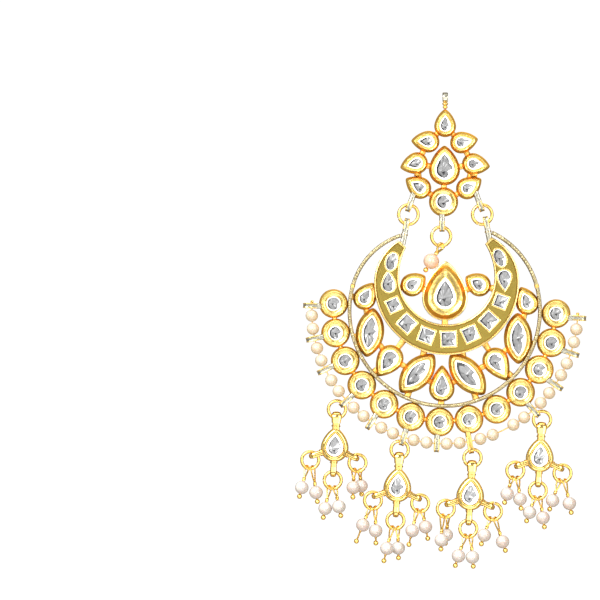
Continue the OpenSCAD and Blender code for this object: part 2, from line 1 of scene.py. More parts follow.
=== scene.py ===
import bpy
import math
import random
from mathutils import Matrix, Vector


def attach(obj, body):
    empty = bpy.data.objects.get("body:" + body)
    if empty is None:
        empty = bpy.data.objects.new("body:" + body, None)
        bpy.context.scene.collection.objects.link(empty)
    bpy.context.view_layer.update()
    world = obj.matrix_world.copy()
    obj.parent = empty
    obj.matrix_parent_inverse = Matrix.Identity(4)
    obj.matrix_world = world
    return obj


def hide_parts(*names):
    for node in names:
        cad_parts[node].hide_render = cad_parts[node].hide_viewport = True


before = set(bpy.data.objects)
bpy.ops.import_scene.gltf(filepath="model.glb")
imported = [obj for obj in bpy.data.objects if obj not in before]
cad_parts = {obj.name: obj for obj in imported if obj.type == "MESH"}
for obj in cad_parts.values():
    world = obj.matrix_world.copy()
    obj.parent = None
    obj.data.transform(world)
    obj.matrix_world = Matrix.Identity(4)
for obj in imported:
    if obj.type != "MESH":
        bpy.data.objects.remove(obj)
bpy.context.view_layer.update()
rng = random.Random(7)
MM = 0.001

# Sizes shared with the CAD, in millimetres on the front plane: x right, y up, w towards the viewer.
# MID is the middle plane of the wires and pearls, SEAT the floor under the stones.
MID = 1.2
SEAT = 1.22
BEZEL_H = 2.4
# Where a pear's flanks leave its round end
SHOULDER = math.radians(15)
# Height of the swing's axis
HINGE = -8.1

# Bezels: shape, x, y, half width, reach of the tip, turn in degrees, width of the rim
FLOWER = [("pear", 0.15, 9.2, 2.42, 3.9, 0, 1.1), ("pear", -3.5, 5.8, 2.42, 3.9, 87, 1.1),
          ("pear", -6.05, 1.1, 2.42, 3.9, 106, 1.1), ("pear", -5.3, -4.4, 2.42, 3.9, 57, 1.1),
          ("round", -0.2, -7.45, 3.25, 3.25, 0, 1.45), ("pear", 4.95, -4.5, 2.42, 3.9, -56, 1.1),
          ("pear", 6.25, 0.9, 2.42, 3.9, -99, 1.1), ("pear", 3.65, 5.6, 2.42, 3.9, -78, 1.1),
          ("pear", 0, -0.4, 3.45, 5.5, 0, 1.2)]
MAIN = ("pear", 0.1, -28.6, 4.7, 7.5, -1, 2.25)
TRIO = [("pear", -7.15, -25.75, 2.55, 3.6, -56, 1.1), ("pear", 7.7, -25.75, 2.55, 3.6, 59, 1.1)]
INNER = [("pear", -17.6, -28.7, 2.55, 4.05, -30, 1.1), ("leaf", -16.4, -36.2, 3.15, 5.65, -8, 1.35),
         ("pear", -11.9, -41.8, 2.93, 5, 145, 1.1), ("leaf", -6, -45.2, 3.2, 5.75, -42, 1.35),
         ("pear", -0.6, -48.6, 2.85, 5.4, -1, 1.1), ("leaf", 5.05, -45.45, 3.25, 5.95, 41, 1.35),
         ("pear", 11.2, -42.35, 2.9, 5.3, -149, 1.1), ("leaf", 16.2, -37.5, 3.17, 5.85, 1, 1.35),
         ("pear", 18.25, -29.8, 2.55, 4, 22, 1.1)]
# Bezels of the inner row that a solder tie joins to the crescent
CRESCENT_TIES = (0, 2, 3, 5, 6, 8)
DROP = ("pear", 0, -8.5, 3.08, 4.7, 0, 1.2)

# The crescent: its centre and turn, the circles of its body, horns and opening, and its stones
# (degrees from straight down, shape, half width, half length) on a circle of their own
CRESCENT_AT = (0.45, -25.2)
CRESCENT_TURN = 2
CRESCENT_R = 15.95
HORN_R = 11
HORN_SHIFT = 4.95
OPENING_AT = (0.1, 1.28)
OPENING_R = 10.5
OPENING_SIDE_R = 14
CRESCENT_ROW = [(-111.5, "oval", 1.35, 2.1), (-90, "pear", 1.55, 3.1), (-67.5, "box", 1.45, 1.45),
                (-45, "box", 1.68, 1.68), (-22.3, "box", 1.62, 1.62), (0, "box", 1.68, 1.68),
                (22.3, "box", 1.62, 1.62), (45, "box", 1.68, 1.68), (67.5, "box", 1.45, 1.45),
                (90, "pear", 1.55, 3.1), (111.5, "oval", 1.35, 2.1)]
CRESCENT_ROW_R = 12.755
CRESCENT_ROW_AT = (0, 0.33)

# The hoop: its big arc ends HOOP_BEND degrees from straight down, in a soldered joint, and smaller
# arcs run on to HOOP_END from the horns' loops
HOOP_AT = (0.05, -31.4)
HOOP_R = 20.95
HOOP_BEND = 105
HOOP_END = (0.5, 1.5)

# The rim: its bezels, loops and pearls, each row on a circle round the hoop's centre
RIM_N = 13
RIM_ROW_R = 24.5
RIM_R = 3.19
RIM_GAP = 0.045
RIM_STONE_R = 1.65
RIM_STEP = 2 * math.degrees(math.asin((RIM_R + RIM_GAP) / RIM_ROW_R))
RIM_TURN = -2.6
EYE_LEAN = [1.5, 0.5, -0.5, 0.6, -0.4, -0.2, -0.8, -1.9, -1.7, -1.2, -1.9, -1.8, -1.6]
BARE_EYE = 8
GOLD_EYE = 7
DROP_EYES = [3, 5, 7, 9]
EYE_ROOT = 27.2
EYE_END = 31.25
GOLD_EYE_EXTRA = 0.8
# What a rim loop's slot leaves of its length
EYE_SOLID = 2.35
PEARL_ROW_R = 29.26
RIM_PEARL_R = 1.38
PEARL_GAP = 0.055

# Loops: x, y, turn (0 points up), length
LOOP_W = 1.2
LOOP_SLOT = 1.1
FLOWER_LOOPS = [(-6.85, -5.9, 160, 4), (6.95, -5.7, -160, 4.2), (-0.55, -10.2, 180, 3.9)]
HORN_LOOPS = [(-9.133, -16.342, -10.88, 5.436), (9.882, -15.678, 10.54, 5.171)]
CHAIN_LOOP_AT = (0.15, 15.55)
CHAIN_LOOP_R = 0.82

# Rings and pearls that hang
SIDE_RING_R = 2.15
SIDE_RINGS = [(-7.95, HINGE - SIDE_RING_R), (8.3, HINGE - SIDE_RING_R)]
CENTRE_RING = (-0.75, -15.05)
CENTRE_RING_R = 2.1
CENTRE_BEAD = (-2.9, -20.5, MID)
CENTRE_PEARL_R = 1.76
RING_WIRE = 0.3
DRESSED_WIRE = 0.36
# The solid end of a rim loop, and the play that a drop's ring has in it
LOOP_END = 0.48
RING_PLAY = 0.22
DROP_LEAN = -3.4
DROP_RING_R = 1.9
ARM_RING_R = 1.87
ARM_TURN = 22.4
# The three arm rings of a drop, across and up from its jump ring
ARM_RINGS = [(-5.2, -11.5), (0, -15.6), (5.2, -11.5)]
DROP_PEARL_R = 1.5
# Head pins of each drop, two on each arm ring from left to right: the pearl's place across, down and
# in depth from the ring's centre, and the pin's ball below the pearl
DROP_PINS = [
    [(-1.5, 6.1, 0.2, 2.1), (1.7, 7, 0, 2.1), (-1.3, 6.3, 0, 2.1), (1.7, 5.7, 0.5, 2.1),
     (-0.6, 5.4, 1.4, 2.3), (1.1, 5, -1.4, 2.1)],
    [(-1.9, 5.5, 0.5, 3.9), (1, 6.6, -0.3, 2.8), (-1.5, 6.2, 0.9, 2.9), (1, 6.05, -1, 2.3),
     (-1.4, 6.1, 0.5, 3.2), (1.5, 5.1, -0.3, 2.7)],
    [(-0.6, 6.9, 1.4, 2.1), (0.5, 5.8, -1.5, 2.1), (-1.8, 6.1, 0.2, 2.3), (1.3, 6.2, -0.2, 2.1),
     (-1.6, 5.3, 0.2, 2.1), (2.5, 6.5, 0, 2.1)],
    [(-1.5, 5.2, 0.8, 2.1), (1.4, 6.2, 0.3, 2.1), (-1.5, 4.9, -0.6, 2.1), (1.5, 5.9, 0, 2.1),
     (-1.8, 6.1, -0.5, 2.1), (1.9, 6.5, 0.2, 2.1)],
]
# How far round its ring a head pin's loop hangs, in degrees, and how far the loop is twisted
PIN_HANG = 20
PIN_TWIST = 44

FRONT = (0, 0, 1)
PLAIN = (0.0, 0.0, 0.0)


def rim_angle(i):
    return RIM_TURN + (i - (RIM_N - 1) / 2) * RIM_STEP


def eye_angle(i):
    return rim_angle(i) + EYE_LEAN[i]


def eye_end(i):
    return EYE_END + (GOLD_EYE_EXTRA if i == GOLD_EYE else 0)


def below(angle, r, centre=(0, 0)):
    """The point at a distance r from a centre, so many degrees from straight down."""
    a = math.radians(angle)
    return (centre[0] + r * math.sin(a), centre[1] - r * math.cos(a))


def rim_place(i):
    return below(rim_angle(i), RIM_ROW_R, HOOP_AT)


# Mesh building, in plan millimetres
def plan(p):
    """Across, up, towards the viewer, in mm -> the row frame in metres."""
    return (p[0] * MM, -p[2] * MM, p[1] * MM)


def new_object(name, data):
    obj = bpy.data.objects.new(name, data)
    bpy.context.scene.collection.objects.link(obj)
    return obj


class Part:
    """Collects the faces of one piece. Each vertex has a tint: painted shade, tone and warmth."""

    def __init__(self, name):
        self.name = name
        self.verts, self.tints, self.faces, self.mats, self.flat = [], [], [], [], []

    def add(self, verts, faces, tints, flat=False):
        base = len(self.verts)
        self.verts += [tuple(v) for v in verts]
        self.tints += tints
        for f in faces:
            self.faces.append([base + i for i in f])
            self.mats.append(0)
            self.flat.append(flat)

    def facet(self, corners, painted_shade):
        """One flat facet with a painted shade of its own."""
        self.add(corners, [list(range(len(corners)))], [(painted_shade, 0, 0)] * len(corners), True)

    def loft(self, rings, tints, cap=(True, True)):
        """Skins closed rings of equal length. Each ring has one tint, or a list of them."""
        n, m = len(rings[0]), len(rings)
        colours = []
        for t in tints:
            colours += t if isinstance(t, list) else [t] * n
        faces = []
        for k in range(m - 1):
            a, b = k * n, (k + 1) * n
            for i in range(n):
                j = (i + 1) % n
                faces.append([a + i, a + j, b + j, b + i])
        if cap[0]:
            faces.append(list(range(n))[::-1])
        if cap[1]:
            faces.append([(m - 1) * n + i for i in range(n)])
        self.add([p for ring_points in rings for p in ring_points], faces, colours)

    def build(self, materials, body, nodes, sharp=35):
        mesh = bpy.data.meshes.new(self.name)
        mesh.from_pydata([plan(v) for v in self.verts], [], self.faces)
        for m in materials:
            mesh.materials.append(m)
        mesh.polygons.foreach_set("material_index", self.mats)
        tint = mesh.color_attributes.new("tint", "FLOAT_COLOR", "POINT")
        tint.data.foreach_set("color", [c for t in self.tints for c in (*t, 1.0)])
        mesh.validate()
        mesh.update()
        mesh.shade_smooth()
        mesh.set_sharp_from_angle(angle=math.radians(sharp))
        if any(self.flat):
            mesh.polygons.foreach_set("use_smooth", [not f for f in self.flat])
        obj = new_object(self.name, mesh)
        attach(obj, body)
        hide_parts(*nodes)


def moved(points, at=(0, 0), turn=0):
    """Turns points about w and moves them across and up."""
    a = math.radians(turn)
    c, s = math.cos(a), math.sin(a)
    return [(at[0] + x * c - y * s, at[1] + x * s + y * c, w) for x, y, w in points]


def arc(c, r, a0, a1, n):
    return [(c[0] + r * math.cos(a0 + (a1 - a0) * i / n), c[1] + r * math.sin(a0 + (a1 - a0) * i / n))
            for i in range(n + 1)]


def pear(r, reach, inset, side=16, end=30):
    """A round end below and a tip above, whose flanks are big arcs that meet the round at SHOULDER."""
    off = (reach * reach - r * r) / (2 * (r - reach * math.sin(SHOULDER)))
    big = off + r - inset
    cx, cy = off * math.cos(SHOULDER), -off * math.sin(SHOULDER)
    top = math.acos(min(1, cx / big))
    left = arc((cx, cy), big, math.pi - top, math.pi - SHOULDER, side)
    low = arc((0, 0), r - inset, math.pi - SHOULDER, 2 * math.pi + SHOULDER, end)
    right = arc((-cx, cy), big, SHOULDER, top, side)
    return left + low[1:] + right[1:-1]


def leaf(r, reach, inset, side=28):
    """Two arcs that meet in a tip above and below."""
    big = (reach * reach + r * r) / (2 * r)
    c = big - r
    top = math.acos(min(1, c / (big - inset)))
    left = arc((c, 0), big - inset, math.pi - top, math.pi + top, side)
    return left[:-1] + arc((-c, 0), big - inset, -top, top, side)[:-1]


def circle(r, n=48, start=0.5):
    return [(r * math.cos(math.tau * (i + start) / n), r * math.sin(math.tau * (i + start) / n))
            for i in range(n)]


def outline(row, inset):
    if row[0] == "pear":
        return pear(row[3], row[4], inset)
    if row[0] == "leaf":
        return leaf(row[3], row[4], inset)
    return circle(row[3] - inset)


def relaxed(points, passes):
    """Rounds the tips of an outline a little."""
    for _ in range(passes):
        n = len(points)
        points = [((points[i - 1][0] + 2 * points[i][0] + points[(i + 1) % n][0]) / 4,
                   (points[i - 1][1] + 2 * points[i][1] + points[(i + 1) % n][1]) / 4) for i in range(n)]
    return points


def coarse(points, n):
    """Every so many points of an outline, so that the stone keeps flat facets. The tip stays."""
    step = len(points) / n
    return [points[int(round(i * step)) % len(points)] for i in range(n)]


def rounded(w, h, r, n=3):
    """A rectangle with rounded corners, as (x, y) round its middle."""
    out = []
    for cx, cy, a in ((w / 2 - r, h / 2 - r, 0), (r - w / 2, h / 2 - r, 90), (r - w / 2, r - h / 2, 180),
                      (w / 2 - r, r - h / 2, 270)):
        for k in range(n + 1):
            t = math.radians(a + 90 * k / n)
            out.append((cx + r * math.cos(t), cy + r * math.sin(t)))
    return out


def frames_along(path, side=None):
    """Side and normal at each point of a path. Without a given side, the frame doesn't twist."""
    points = [Vector(p) for p in path]
    frames = []
    last = None
    for before, after in zip(points[:1] + points[:-1], points[1:] + points[-1:]):
        along = (after - before).normalized()
        if side is not None:
            across = Vector(side)
        else:
            across = along.orthogonal() if last is None else last
        across = (across - along * across.dot(along)).normalized()
        last = across
        frames.append((across, along.cross(across).normalized()))
    return frames


def sweep(part, path, section, side=None, tint=PLAIN, scale=None, tints=None):
    """Sweeps a section of (along side, along normal) over a path of plan points."""
    rings = []
    for i, (p, (across, normal)) in enumerate(zip(path, frames_along(path, side))):
        k = scale[i] if scale else 1.0
        rings.append([tuple(Vector(p) + across * (x * k) + normal * (y * k)) for x, y in section])
    part.loft(rings, tints or [tint] * len(rings))


def wire(part, path, r, tint, sides=8):
    sweep(part, path, circle(r, sides), tint=tint)


def ring(part, at, r, cut):
    """A jump ring in the front plane with its cut at an angle."""
    half = 1.1 + rng.random()
    start, end = math.radians(cut + half), math.radians(cut + 360 - half)
    path = [(x, y, MID) for x, y in arc(at, r, start, end, 56)]
    sweep(part, path, circle(DRESSED_WIRE, 14), FRONT, (0.1, 0.6, 0.0))


def ball(part, at, r, tint, rows, cols, stretch=(1, 1, 1), axis=(0, 0, 1)):
    """A ball in rings round its axis, open by a hair at both poles and capped."""
    turn = Vector((0, 0, 1)).rotation_difference(Vector(axis))
    pole = 0.04
    rings = []
    for k in range(rows + 1):
        down = math.pi * (k + pole) / (rows + 2 * pole)
        height = r * math.cos(down) * stretch[2]
        rings.append([tuple(Vector(at) + turn @ Vector((x * stretch[0], y * stretch[1], height)))
                      for x, y in circle(r * math.sin(down), cols, 0)])
    part.loft(rings[::-1], [tint] * len(rings))


def pearl(part, at, r, way, blush):
    ball(part, at, r, (0.0, blush, 0.0), rows=18, cols=28, stretch=(1.0, 0.985, 0.975),
         axis=tuple(Vector(way).normalized()))


# Materials
def nodes_of(name):
    m = bpy.data.materials.new(name)
    m.use_nodes = True
    nt = m.node_tree
    return m, nt, nt.nodes["Principled BSDF"]


def plug(nt, value, socket):
    """Links a socket to another, or sets a plain value."""
    if hasattr(value, "links"):
        nt.links.new(value, socket)
    else:
        socket.default_value = value


def feed(nt, n, **values):
    """Plugs a node's inputs, whose names start with a capital, and sets its other properties."""
    for name, value in values.items():
        if name[0].islower():
            setattr(n, name, value)
        else:
            plug(nt, value, n.inputs[name.replace("_", " ")])
    return n


def node(nt, kind, **values):
    return feed(nt, nt.nodes.new(kind), **values)


def noise(nt, where, scale, detail=2.0, **others):
    return node(nt, "ShaderNodeTexNoise", Vector=where, Scale=scale, Detail=detail, **others).outputs[0]


def bump(nt, height, strength, distance, **under):
    n = node(nt, "ShaderNodeBump", Height=height, Strength=strength, Distance=distance, **under)
    return n.outputs[0]


def coordinate(nt, kind="Object"):
    return node(nt, "ShaderNodeTexCoord").outputs[kind]


def split(nt, colour):
    return node(nt, "ShaderNodeSeparateColor", Color=colour).outputs


def tint_of(nt):
    """The painted shade, tone and warmth of the tint, as sockets."""
    return split(nt, node(nt, "ShaderNodeVertexColor", layer_name="tint").outputs["Color"])


def ramp(nt, stops, factor):
    """A colour ramp fed by a socket. Returns its colour socket."""
    r = node(nt, "ShaderNodeValToRGB")
    el = r.color_ramp.elements
    while len(el) < len(stops):
        el.new(0.5)
    for e, (pos, col) in zip(el, stops):
        e.position = pos
        e.color = (*col, 1.0)
    nt.links.new(factor, r.inputs[0])
    return r.outputs[0]


def grey(v):
    return (v, v, v)


def mix(nt, a, b, fac, blend="MIX"):
    """Mixes two colours, each a socket or three numbers."""
    m = node(nt, "ShaderNodeMix", data_type="RGBA", blend_type=blend)
    colours = [s for s in m.inputs if s.type == "RGBA"]
    for socket, value in zip([m.inputs["Factor"]] + colours, (fac, a, b)):
        plug(nt, (*value, 1.0) if isinstance(value, tuple) else value, socket)
    return [s for s in m.outputs if s.type == "RGBA"][0]


def math_node(nt, op, a, b, c=0.0, clamp=False):
    n = node(nt, "ShaderNodeMath", operation=op, use_clamp=clamp)
    for socket, value in zip(n.inputs, (a, b, c)):
        plug(nt, value, socket)
    return n.outputs[0]


def swing(nt, value, share, base):
    """The base socket moved by a texture's distance from its middle, kept between 0 and 1."""
    return math_node(nt, "MULTIPLY_ADD", math_node(nt, "SUBTRACT", value, 0.5), share, base, clamp=True)


def gold(name, pale, deep, rough, hammer, hammer_scale=900, grain=0.04, mottle_and_reflection=0.25, warm=None):
    """Plated metal: pale where it stands proud and deep where the tint paints shade, with blotches of
    partly painted reflection, hammered, with a fine grain.
    """
    m, nt, bsdf = nodes_of(name)
    co = coordinate(nt)
    painted_shade, tone, warmth = tint_of(nt)[:3]
    fine = noise(nt, co, 6000.0)
    blot = noise(nt, co, 700.0, 3.0, Roughness=0.55)
    # Painted shade: the tint's shade and the blotches mix the pale colour towards the deep one; the
    # blotches stand partly for painted reflections
    col = mix(nt, pale, deep, swing(nt, blot, mottle_and_reflection * 1.6, painted_shade))
    col = mix(nt, col, math_node(nt, "MULTIPLY_ADD", tone, 0.14, 0.93), 1.0, "MULTIPLY")
    if warm:
        col = mix(nt, col, warm, warmth)
    dents = node(nt, "ShaderNodeTexVoronoi", feature="SMOOTH_F1", Vector=co, Scale=float(hammer_scale),
                 Smoothness=0.6)
    hammered = bump(nt, dents.outputs["Distance"], hammer, 0.00025)
    proud_rough = math_node(nt, "MULTIPLY_ADD", fine, 0.12, rough - 0.06)
    feed(nt, bsdf, Base_Color=col, Metallic=1.0, Specular_Tint=(1.0, 0.62, 0.2, 1.0),
         Roughness=math_node(nt, "MULTIPLY_ADD", painted_shade, 0.16, proud_rough),
         Normal=bump(nt, fine, grain, 0.0001, Normal=hammered))
    return m


def foil_glass(name):
    """Foil-backed cut glass under a clear polished top: the tint's painted shade takes a facet from glowing
    white, painted light, to the grey and black of painted reflections.
    """
    m, nt, bsdf = nodes_of(name)
    cell = node(nt, "ShaderNodeTexVoronoi", Vector=coordinate(nt), Scale=1100.0)
    t = swing(nt, split(nt, cell.outputs["Color"])[0], 0.10, tint_of(nt)[0])
    # Painted reflection: the greys and blacks of the facets; painted light: the white facets glow
    foil_and_reflection = ramp(nt, [(0.0, (0.85, 0.86, 0.87)), (0.25, grey(0.25)), (0.6, (0.06, 0.06, 0.062)),
                     (1.0, (0.012, 0.012, 0.014))], t)
    painted_glow = ramp(nt, [(0.0, grey(1)), (0.1, grey(0.8)), (0.25, (0.012, 0.013, 0.015)), (0.5, grey(0))], t)
    feed(nt, bsdf, Base_Color=foil_and_reflection, Emission_Color=painted_glow, Emission_Strength=2.2, Roughness=0.16, IOR=1.55,
         Coat_Weight=0.3, Coat_Roughness=0.03, Normal=bump(nt, cell.outputs["Distance"], 0.25, 0.00012))
    return m


def pearl_coat(name, cream, blush, lit, shade):
    """A pearl: cream and blush, and painted light: a glow brightest on the upper left of its front and on
    its back, and painted shade elsewhere.
    """
    m, nt, bsdf = nodes_of(name)
    co = coordinate(nt)
    t = swing(nt, noise(nt, co, 420.0), 1.1, tint_of(nt)[1])
    facing = []
    for way in ((-0.32, -0.82, 0.47), (0.32, 0.82, 0.47)):
        face = node(nt, "ShaderNodeVectorMath", operation="DOT_PRODUCT", Vector=coordinate(nt, "Normal"))
        face.inputs[1].default_value = way
        facing.append(face.outputs["Value"])
    turn = math_node(nt, "MULTIPLY_ADD", t, -0.18, math_node(nt, "MAXIMUM", *facing), clamp=True)
    # Painted light and shade: the glow runs from the shade colour to the lit colour as the surface turns up
    # left to the front, or to the back
    inner = ramp(nt, [(0.0, shade), (0.52, shade), (0.96, lit), (1.0, lit)], turn)
    feed(nt, bsdf, Base_Color=mix(nt, cream, blush, t), Emission_Color=inner, Emission_Strength=1.15,
         Roughness=0.22, Subsurface_Weight=0.15, Subsurface_Scale=0.0008, Coat_Weight=0.3,
         Coat_Roughness=0.12, Normal=bump(nt, noise(nt, co, 3000.0), 0.06, 0.0001))
    return m


# Each metal: proud colour, the deep colour of its painted shade, roughness, hammer, and more
SET_GOLD = gold("set_gold_metal", (0.85, 0.62, 0.20), (0.84, 0.50, 0.11), 0.27, 0.4, 850)
SOLDER = gold("solder_metal", (0.82, 0.58, 0.18), (0.66, 0.38, 0.08), 0.36, 0.6, 1200, 0.1)
FACE_GOLD = gold("crescent_face_metal", (0.32, 0.235, 0.048), (0.22, 0.15, 0.03), 0.26, 0.05, 500,
                 0.05, 0.35)
EDGE_GOLD = gold("crescent_edge_metal", (0.86, 0.67, 0.26), (0.52, 0.34, 0.07), 0.25, 0.25)
LINE_GOLD = gold("setting_line_metal", (1.0, 0.74, 0.3), (0.85, 0.42, 0.08), 0.25, 0.1)
CAST_GOLD = gold("cast_gold_metal", (0.95, 0.68, 0.22), (0.36, 0.16, 0.02), 0.13, 0.12, 420, 0.04, 0.5)
HOOP_GOLD = gold("hoop_metal", (0.42, 0.36, 0.20), (0.20, 0.15, 0.07), 0.3, 0.6, 1300, 0.04, 0.7)
WIRE_GOLD = gold("gold_wire_metal", (0.92, 0.63, 0.17), (0.34, 0.16, 0.02), 0.2, 0.1, 700)
SILVER = gold("loop_metal", (0.66, 0.63, 0.50), (0.10, 0.10, 0.08), 0.22, 0.3, 1000, 0.05, 0.35,
              warm=(0.85, 0.58, 0.17))
STEEL = gold("post_metal", (0.75, 0.73, 0.66), (0.3, 0.28, 0.24), 0.22, 0.05, 700)
GLASS = foil_glass("foiled_glass_cut")
# Pearls: cream, blush, and the lit and shaded colours of their painted glow
PEARL = pearl_coat("pearl_cream_coat", (0.44, 0.38, 0.28), (0.44, 0.35, 0.24), (1.0, 0.94, 0.84),
                   (0.27, 0.14, 0.02))
PEARL_PINK = pearl_coat("pearl_drop_coat", (0.41, 0.375, 0.34), (0.41, 0.335, 0.29), (1.0, 1.0, 0.97),
                        (0.17, 0.10, 0.05))
PEARL_PEACH = pearl_coat("pearl_peach_coat", (0.54, 0.38, 0.27), (0.54, 0.33, 0.21), (0.75, 0.62, 0.5),
                         (0.24, 0.09, 0.03))


# Bezels: each profile is a list of (inset, height, painted shade), from the back round the lip to the stone
def set_profile(rim, slope=0.48):
    """Sloping outer wall, rounded lip, broad dished rim, with painted shade on the wall and in a dark edge
    beside the stone.
    """
    h = BEZEL_H
    return [(0.16, 0.0, 0.9), (0.03, 0.2, 1.0), (0.0, 0.7, 1.0), (0.02, 1.2, 1.0),
            (slope * 0.45, h - 0.7, 0.85), (slope * 0.85, h - 0.3, 0.6), (slope, h - 0.12, 0.25),
            (slope + 0.08, h - 0.01, 0.0), (slope + 0.2, h - 0.03, 0.0), (slope + 0.27, h - 0.13, 0.2),
            (slope + 0.33, h - 0.16, 0.3), (slope + 0.4, h - 0.13, 0.0), (rim - 0.12, h - 0.36, 0.0),
            (rim - 0.03, h - 0.4, 0.3), (rim + 0.03, h - 0.46, 0.85), (rim + 0.05, SEAT - 0.1, 1.0),
            (rim + 0.25, SEAT - 0.1, 1.0)]


MAIN_PROFILE = [(0.0, 0.9, 1.0), (0.04, 1.3, 1.0), (0.36, 2.0, 0.85), (0.7, 2.62, 0.65), (0.8, 2.86, 0.25),
                (0.9, 2.99, 0.0), (1.04, 2.97, 0.0), (1.12, 2.84, 0.3), (1.22, 2.8, 0.1), (1.6, 2.66, 0.0),
                (2.06, 2.42, 0.0), (2.2, 2.3, 0.2), (2.3, 2.15, 0.8), (2.32, 1.1, 1.0), (2.6, 1.1, 1.0)]
PLATE_PROFILE = [(0.06, 0.0, 0.8), (0.0, 0.15, 0.6), (0.0, 0.85, 0.3), (0.06, 1.03, 0.0), (0.18, 1.09, 0.0),
                 (0.5, 1.1, 0.2), (1.2, 1.1, 0.6)]
CAST_PROFILE = [(0.2, 0.0, 0.1), (0.05, 0.25, 0.4), (0.0, 0.7, 0.25), (0.0, 1.3, 0.1), (0.06, 1.75, 0.0),
                (0.2, 2.12, 0.0), (0.4, 2.34, 0.0), (0.6, 2.39, 0.0), (0.8, 2.3, 0.0), (0.98, 2.08, 0.15),
                (1.1, 1.86, 0.4), (1.17, 1.6, 0.8), (1.18, SEAT - 0.1, 1.0), (1.4, SEAT - 0.1, 1.0)]
# The round bezels' profile holds radii in place of insets
RIM_PROFILE = [(2.86, 0.0, 0.9), (3.12, 0.35, 1.0), (3.19, 0.9, 1.0), (3.18, 1.4, 0.9), (3.0, 1.85, 0.8),
               (2.8, 2.2, 0.5), (2.7, 2.34, 0.1), (2.6, 2.38, 0.0), (2.48, 2.34, 0.0), (2.4, 2.24, 0.25),
               (2.3, 2.22, 0.2), (2.2, 2.24, 0.0), (1.95, 2.14, 0.0), (1.74, 2.04, 0.0), (1.64, 1.98, 0.5),
               (1.6, 1.9, 0.9), (1.59, SEAT - 0.1, 1.0), (1.4, SEAT - 0.1, 1.0)]
# Only what stands above this height wobbles
WOBBLE_FROM = 1.5


def bezel(part, row, profile, wobble=0.02):
    """Sweeps a profile round a row's outline, with a slightly uneven lip."""
    tone = rng.random()
    n = len(outline(row, 0.1))
    shake = []
    for i in range(n):
        a = math.tau * i / n
        shake.append(wobble * (math.sin(3 * a + tone * 9) + math.sin(7 * a + tone * 20) * 0.6))
    rings, tints = [], []
    for inset, w, painted_shade in profile:
        lift = 1.0 if w > WOBBLE_FROM else 0.0
        level = [(x, y, w + lift * shake[i]) for i, (x, y) in enumerate(relaxed(outline(row, inset), 2))]
        rings.append(moved(level, (row[1], row[2]), row[5]))
        tints.append((painted_shade, tone, 0.0))
    part.loft(rings, tints, cap=(True, False))


def rim_bezel(part, at, tone):
    rings = [[(at[0] + x, at[1] + y, w) for x, y in circle(r, 44)] for r, w, _ in RIM_PROFILE]
    part.loft(rings, [(painted_shade, tone, 0.0) for _, _, painted_shade in RIM_PROFILE], cap=(True, False))


def solder(part, p, q, width=1.3, top=1.1):
    """A rounded bridge of solder that swells at both ends."""
    steps, sides = 8, 12
    p, q = Vector((*p, 0)), Vector((*q, 0))
    d = (q - p).normalized()
    across = Vector((-d.y, d.x, 0))
    rings, tints = [], []
    for k in range(steps + 1):
        t = k / steps
        swell = 1 + 0.25 * (2 * t - 1) ** 2
        level = []
        for x, y in circle(1, sides, 0):
            z = top / 2 + math.copysign(abs(y) ** 0.7, y) * top / 2 * (swell if y > 0 else 1)
            offset = across * (x * width / 2 * swell) + Vector((0, 0, max(0.0, z)))
            level.append(tuple(p.lerp(q, t) + offset))
        rings.append(level)
        # The solder takes mostly the deep colour, as painted shade, in a random share
        tints.append((0.55 + 0.3 * rng.random(), 0.5, 0.0))
    part.loft(rings, tints)


# Stones
def patch_reach(theta, seed):
    """How far the grey patch of painted reflection on a foiled stone reaches, as a share of the way to the
    table's edge.
    """
    keys = [(-180, 0.74), (-150, 0.82), (-120, 0.84), (-95, 0.93), (-70, 0.62), (-40, 0.4 + 0.2 * seed[0]),
            (-12, 0.28 + 0.12 * seed[1]), (14, 0.58 + 0.35 * seed[2]), (34, 0.4 + 0.2 * seed[1]),
            (60, 0.55 + 0.2 * seed[0]), (88, 0.9), (110, 0.84), (140, 0.86), (180, 0.74)]
    for (a, x), (b, y) in zip(keys, keys[1:]):
        if a <= theta <= b:
            return x + (y - x) * (theta - a) / (b - a)
    return 0.7


def painted_reflection_patch(part, table, cx, cy, dip, seed, pale, grow):
    """The table: white outside, then the grey patch of painted reflection, with painted shade darkest along
    its left edge.
    """
    inner = []
    for x, y, w in table:
        theta = math.degrees(math.atan2(y - cy, x - cx))
        f = min(0.96, patch_reach(theta, seed) * grow)
        inner.append((cx + (x - cx) * f, cy + (y - cy) * f, w + 0.015))
    n = len(table)
    for i in range(n):
        j = (i + 1) % n
        part.facet([table[i], table[j], inner[j], inner[i]], 0.05 * rng.random())
        mx, my = (inner[i][0] + inner[j][0]) / 2 - cx, (inner[i][1] + inner[j][1]) / 2 - cy
        on_left = -mx / (math.hypot(mx, my) + 1e-6) > 0.2
        # Painted reflection: the patch's grey; painted shade: darker along its left edge
        tone = (0.32 + 0.2 * (rng.random() - 0.5)) * (1 - pale)
        painted_edge_shade = tone + (0.62 * (1 - pale) if on_left else 0.18)
        share = 0.7 if on_left else 0.88
        near = [(cx + (x - cx) * share, cy + (y - cy) * share, w) for x, y, w in (inner[i], inner[j])]
        part.facet([inner[i], inner[j], near[1], near[0]], painted_edge_shade)
        part.facet([near[0], near[1], (cx, cy, dip)], tone)


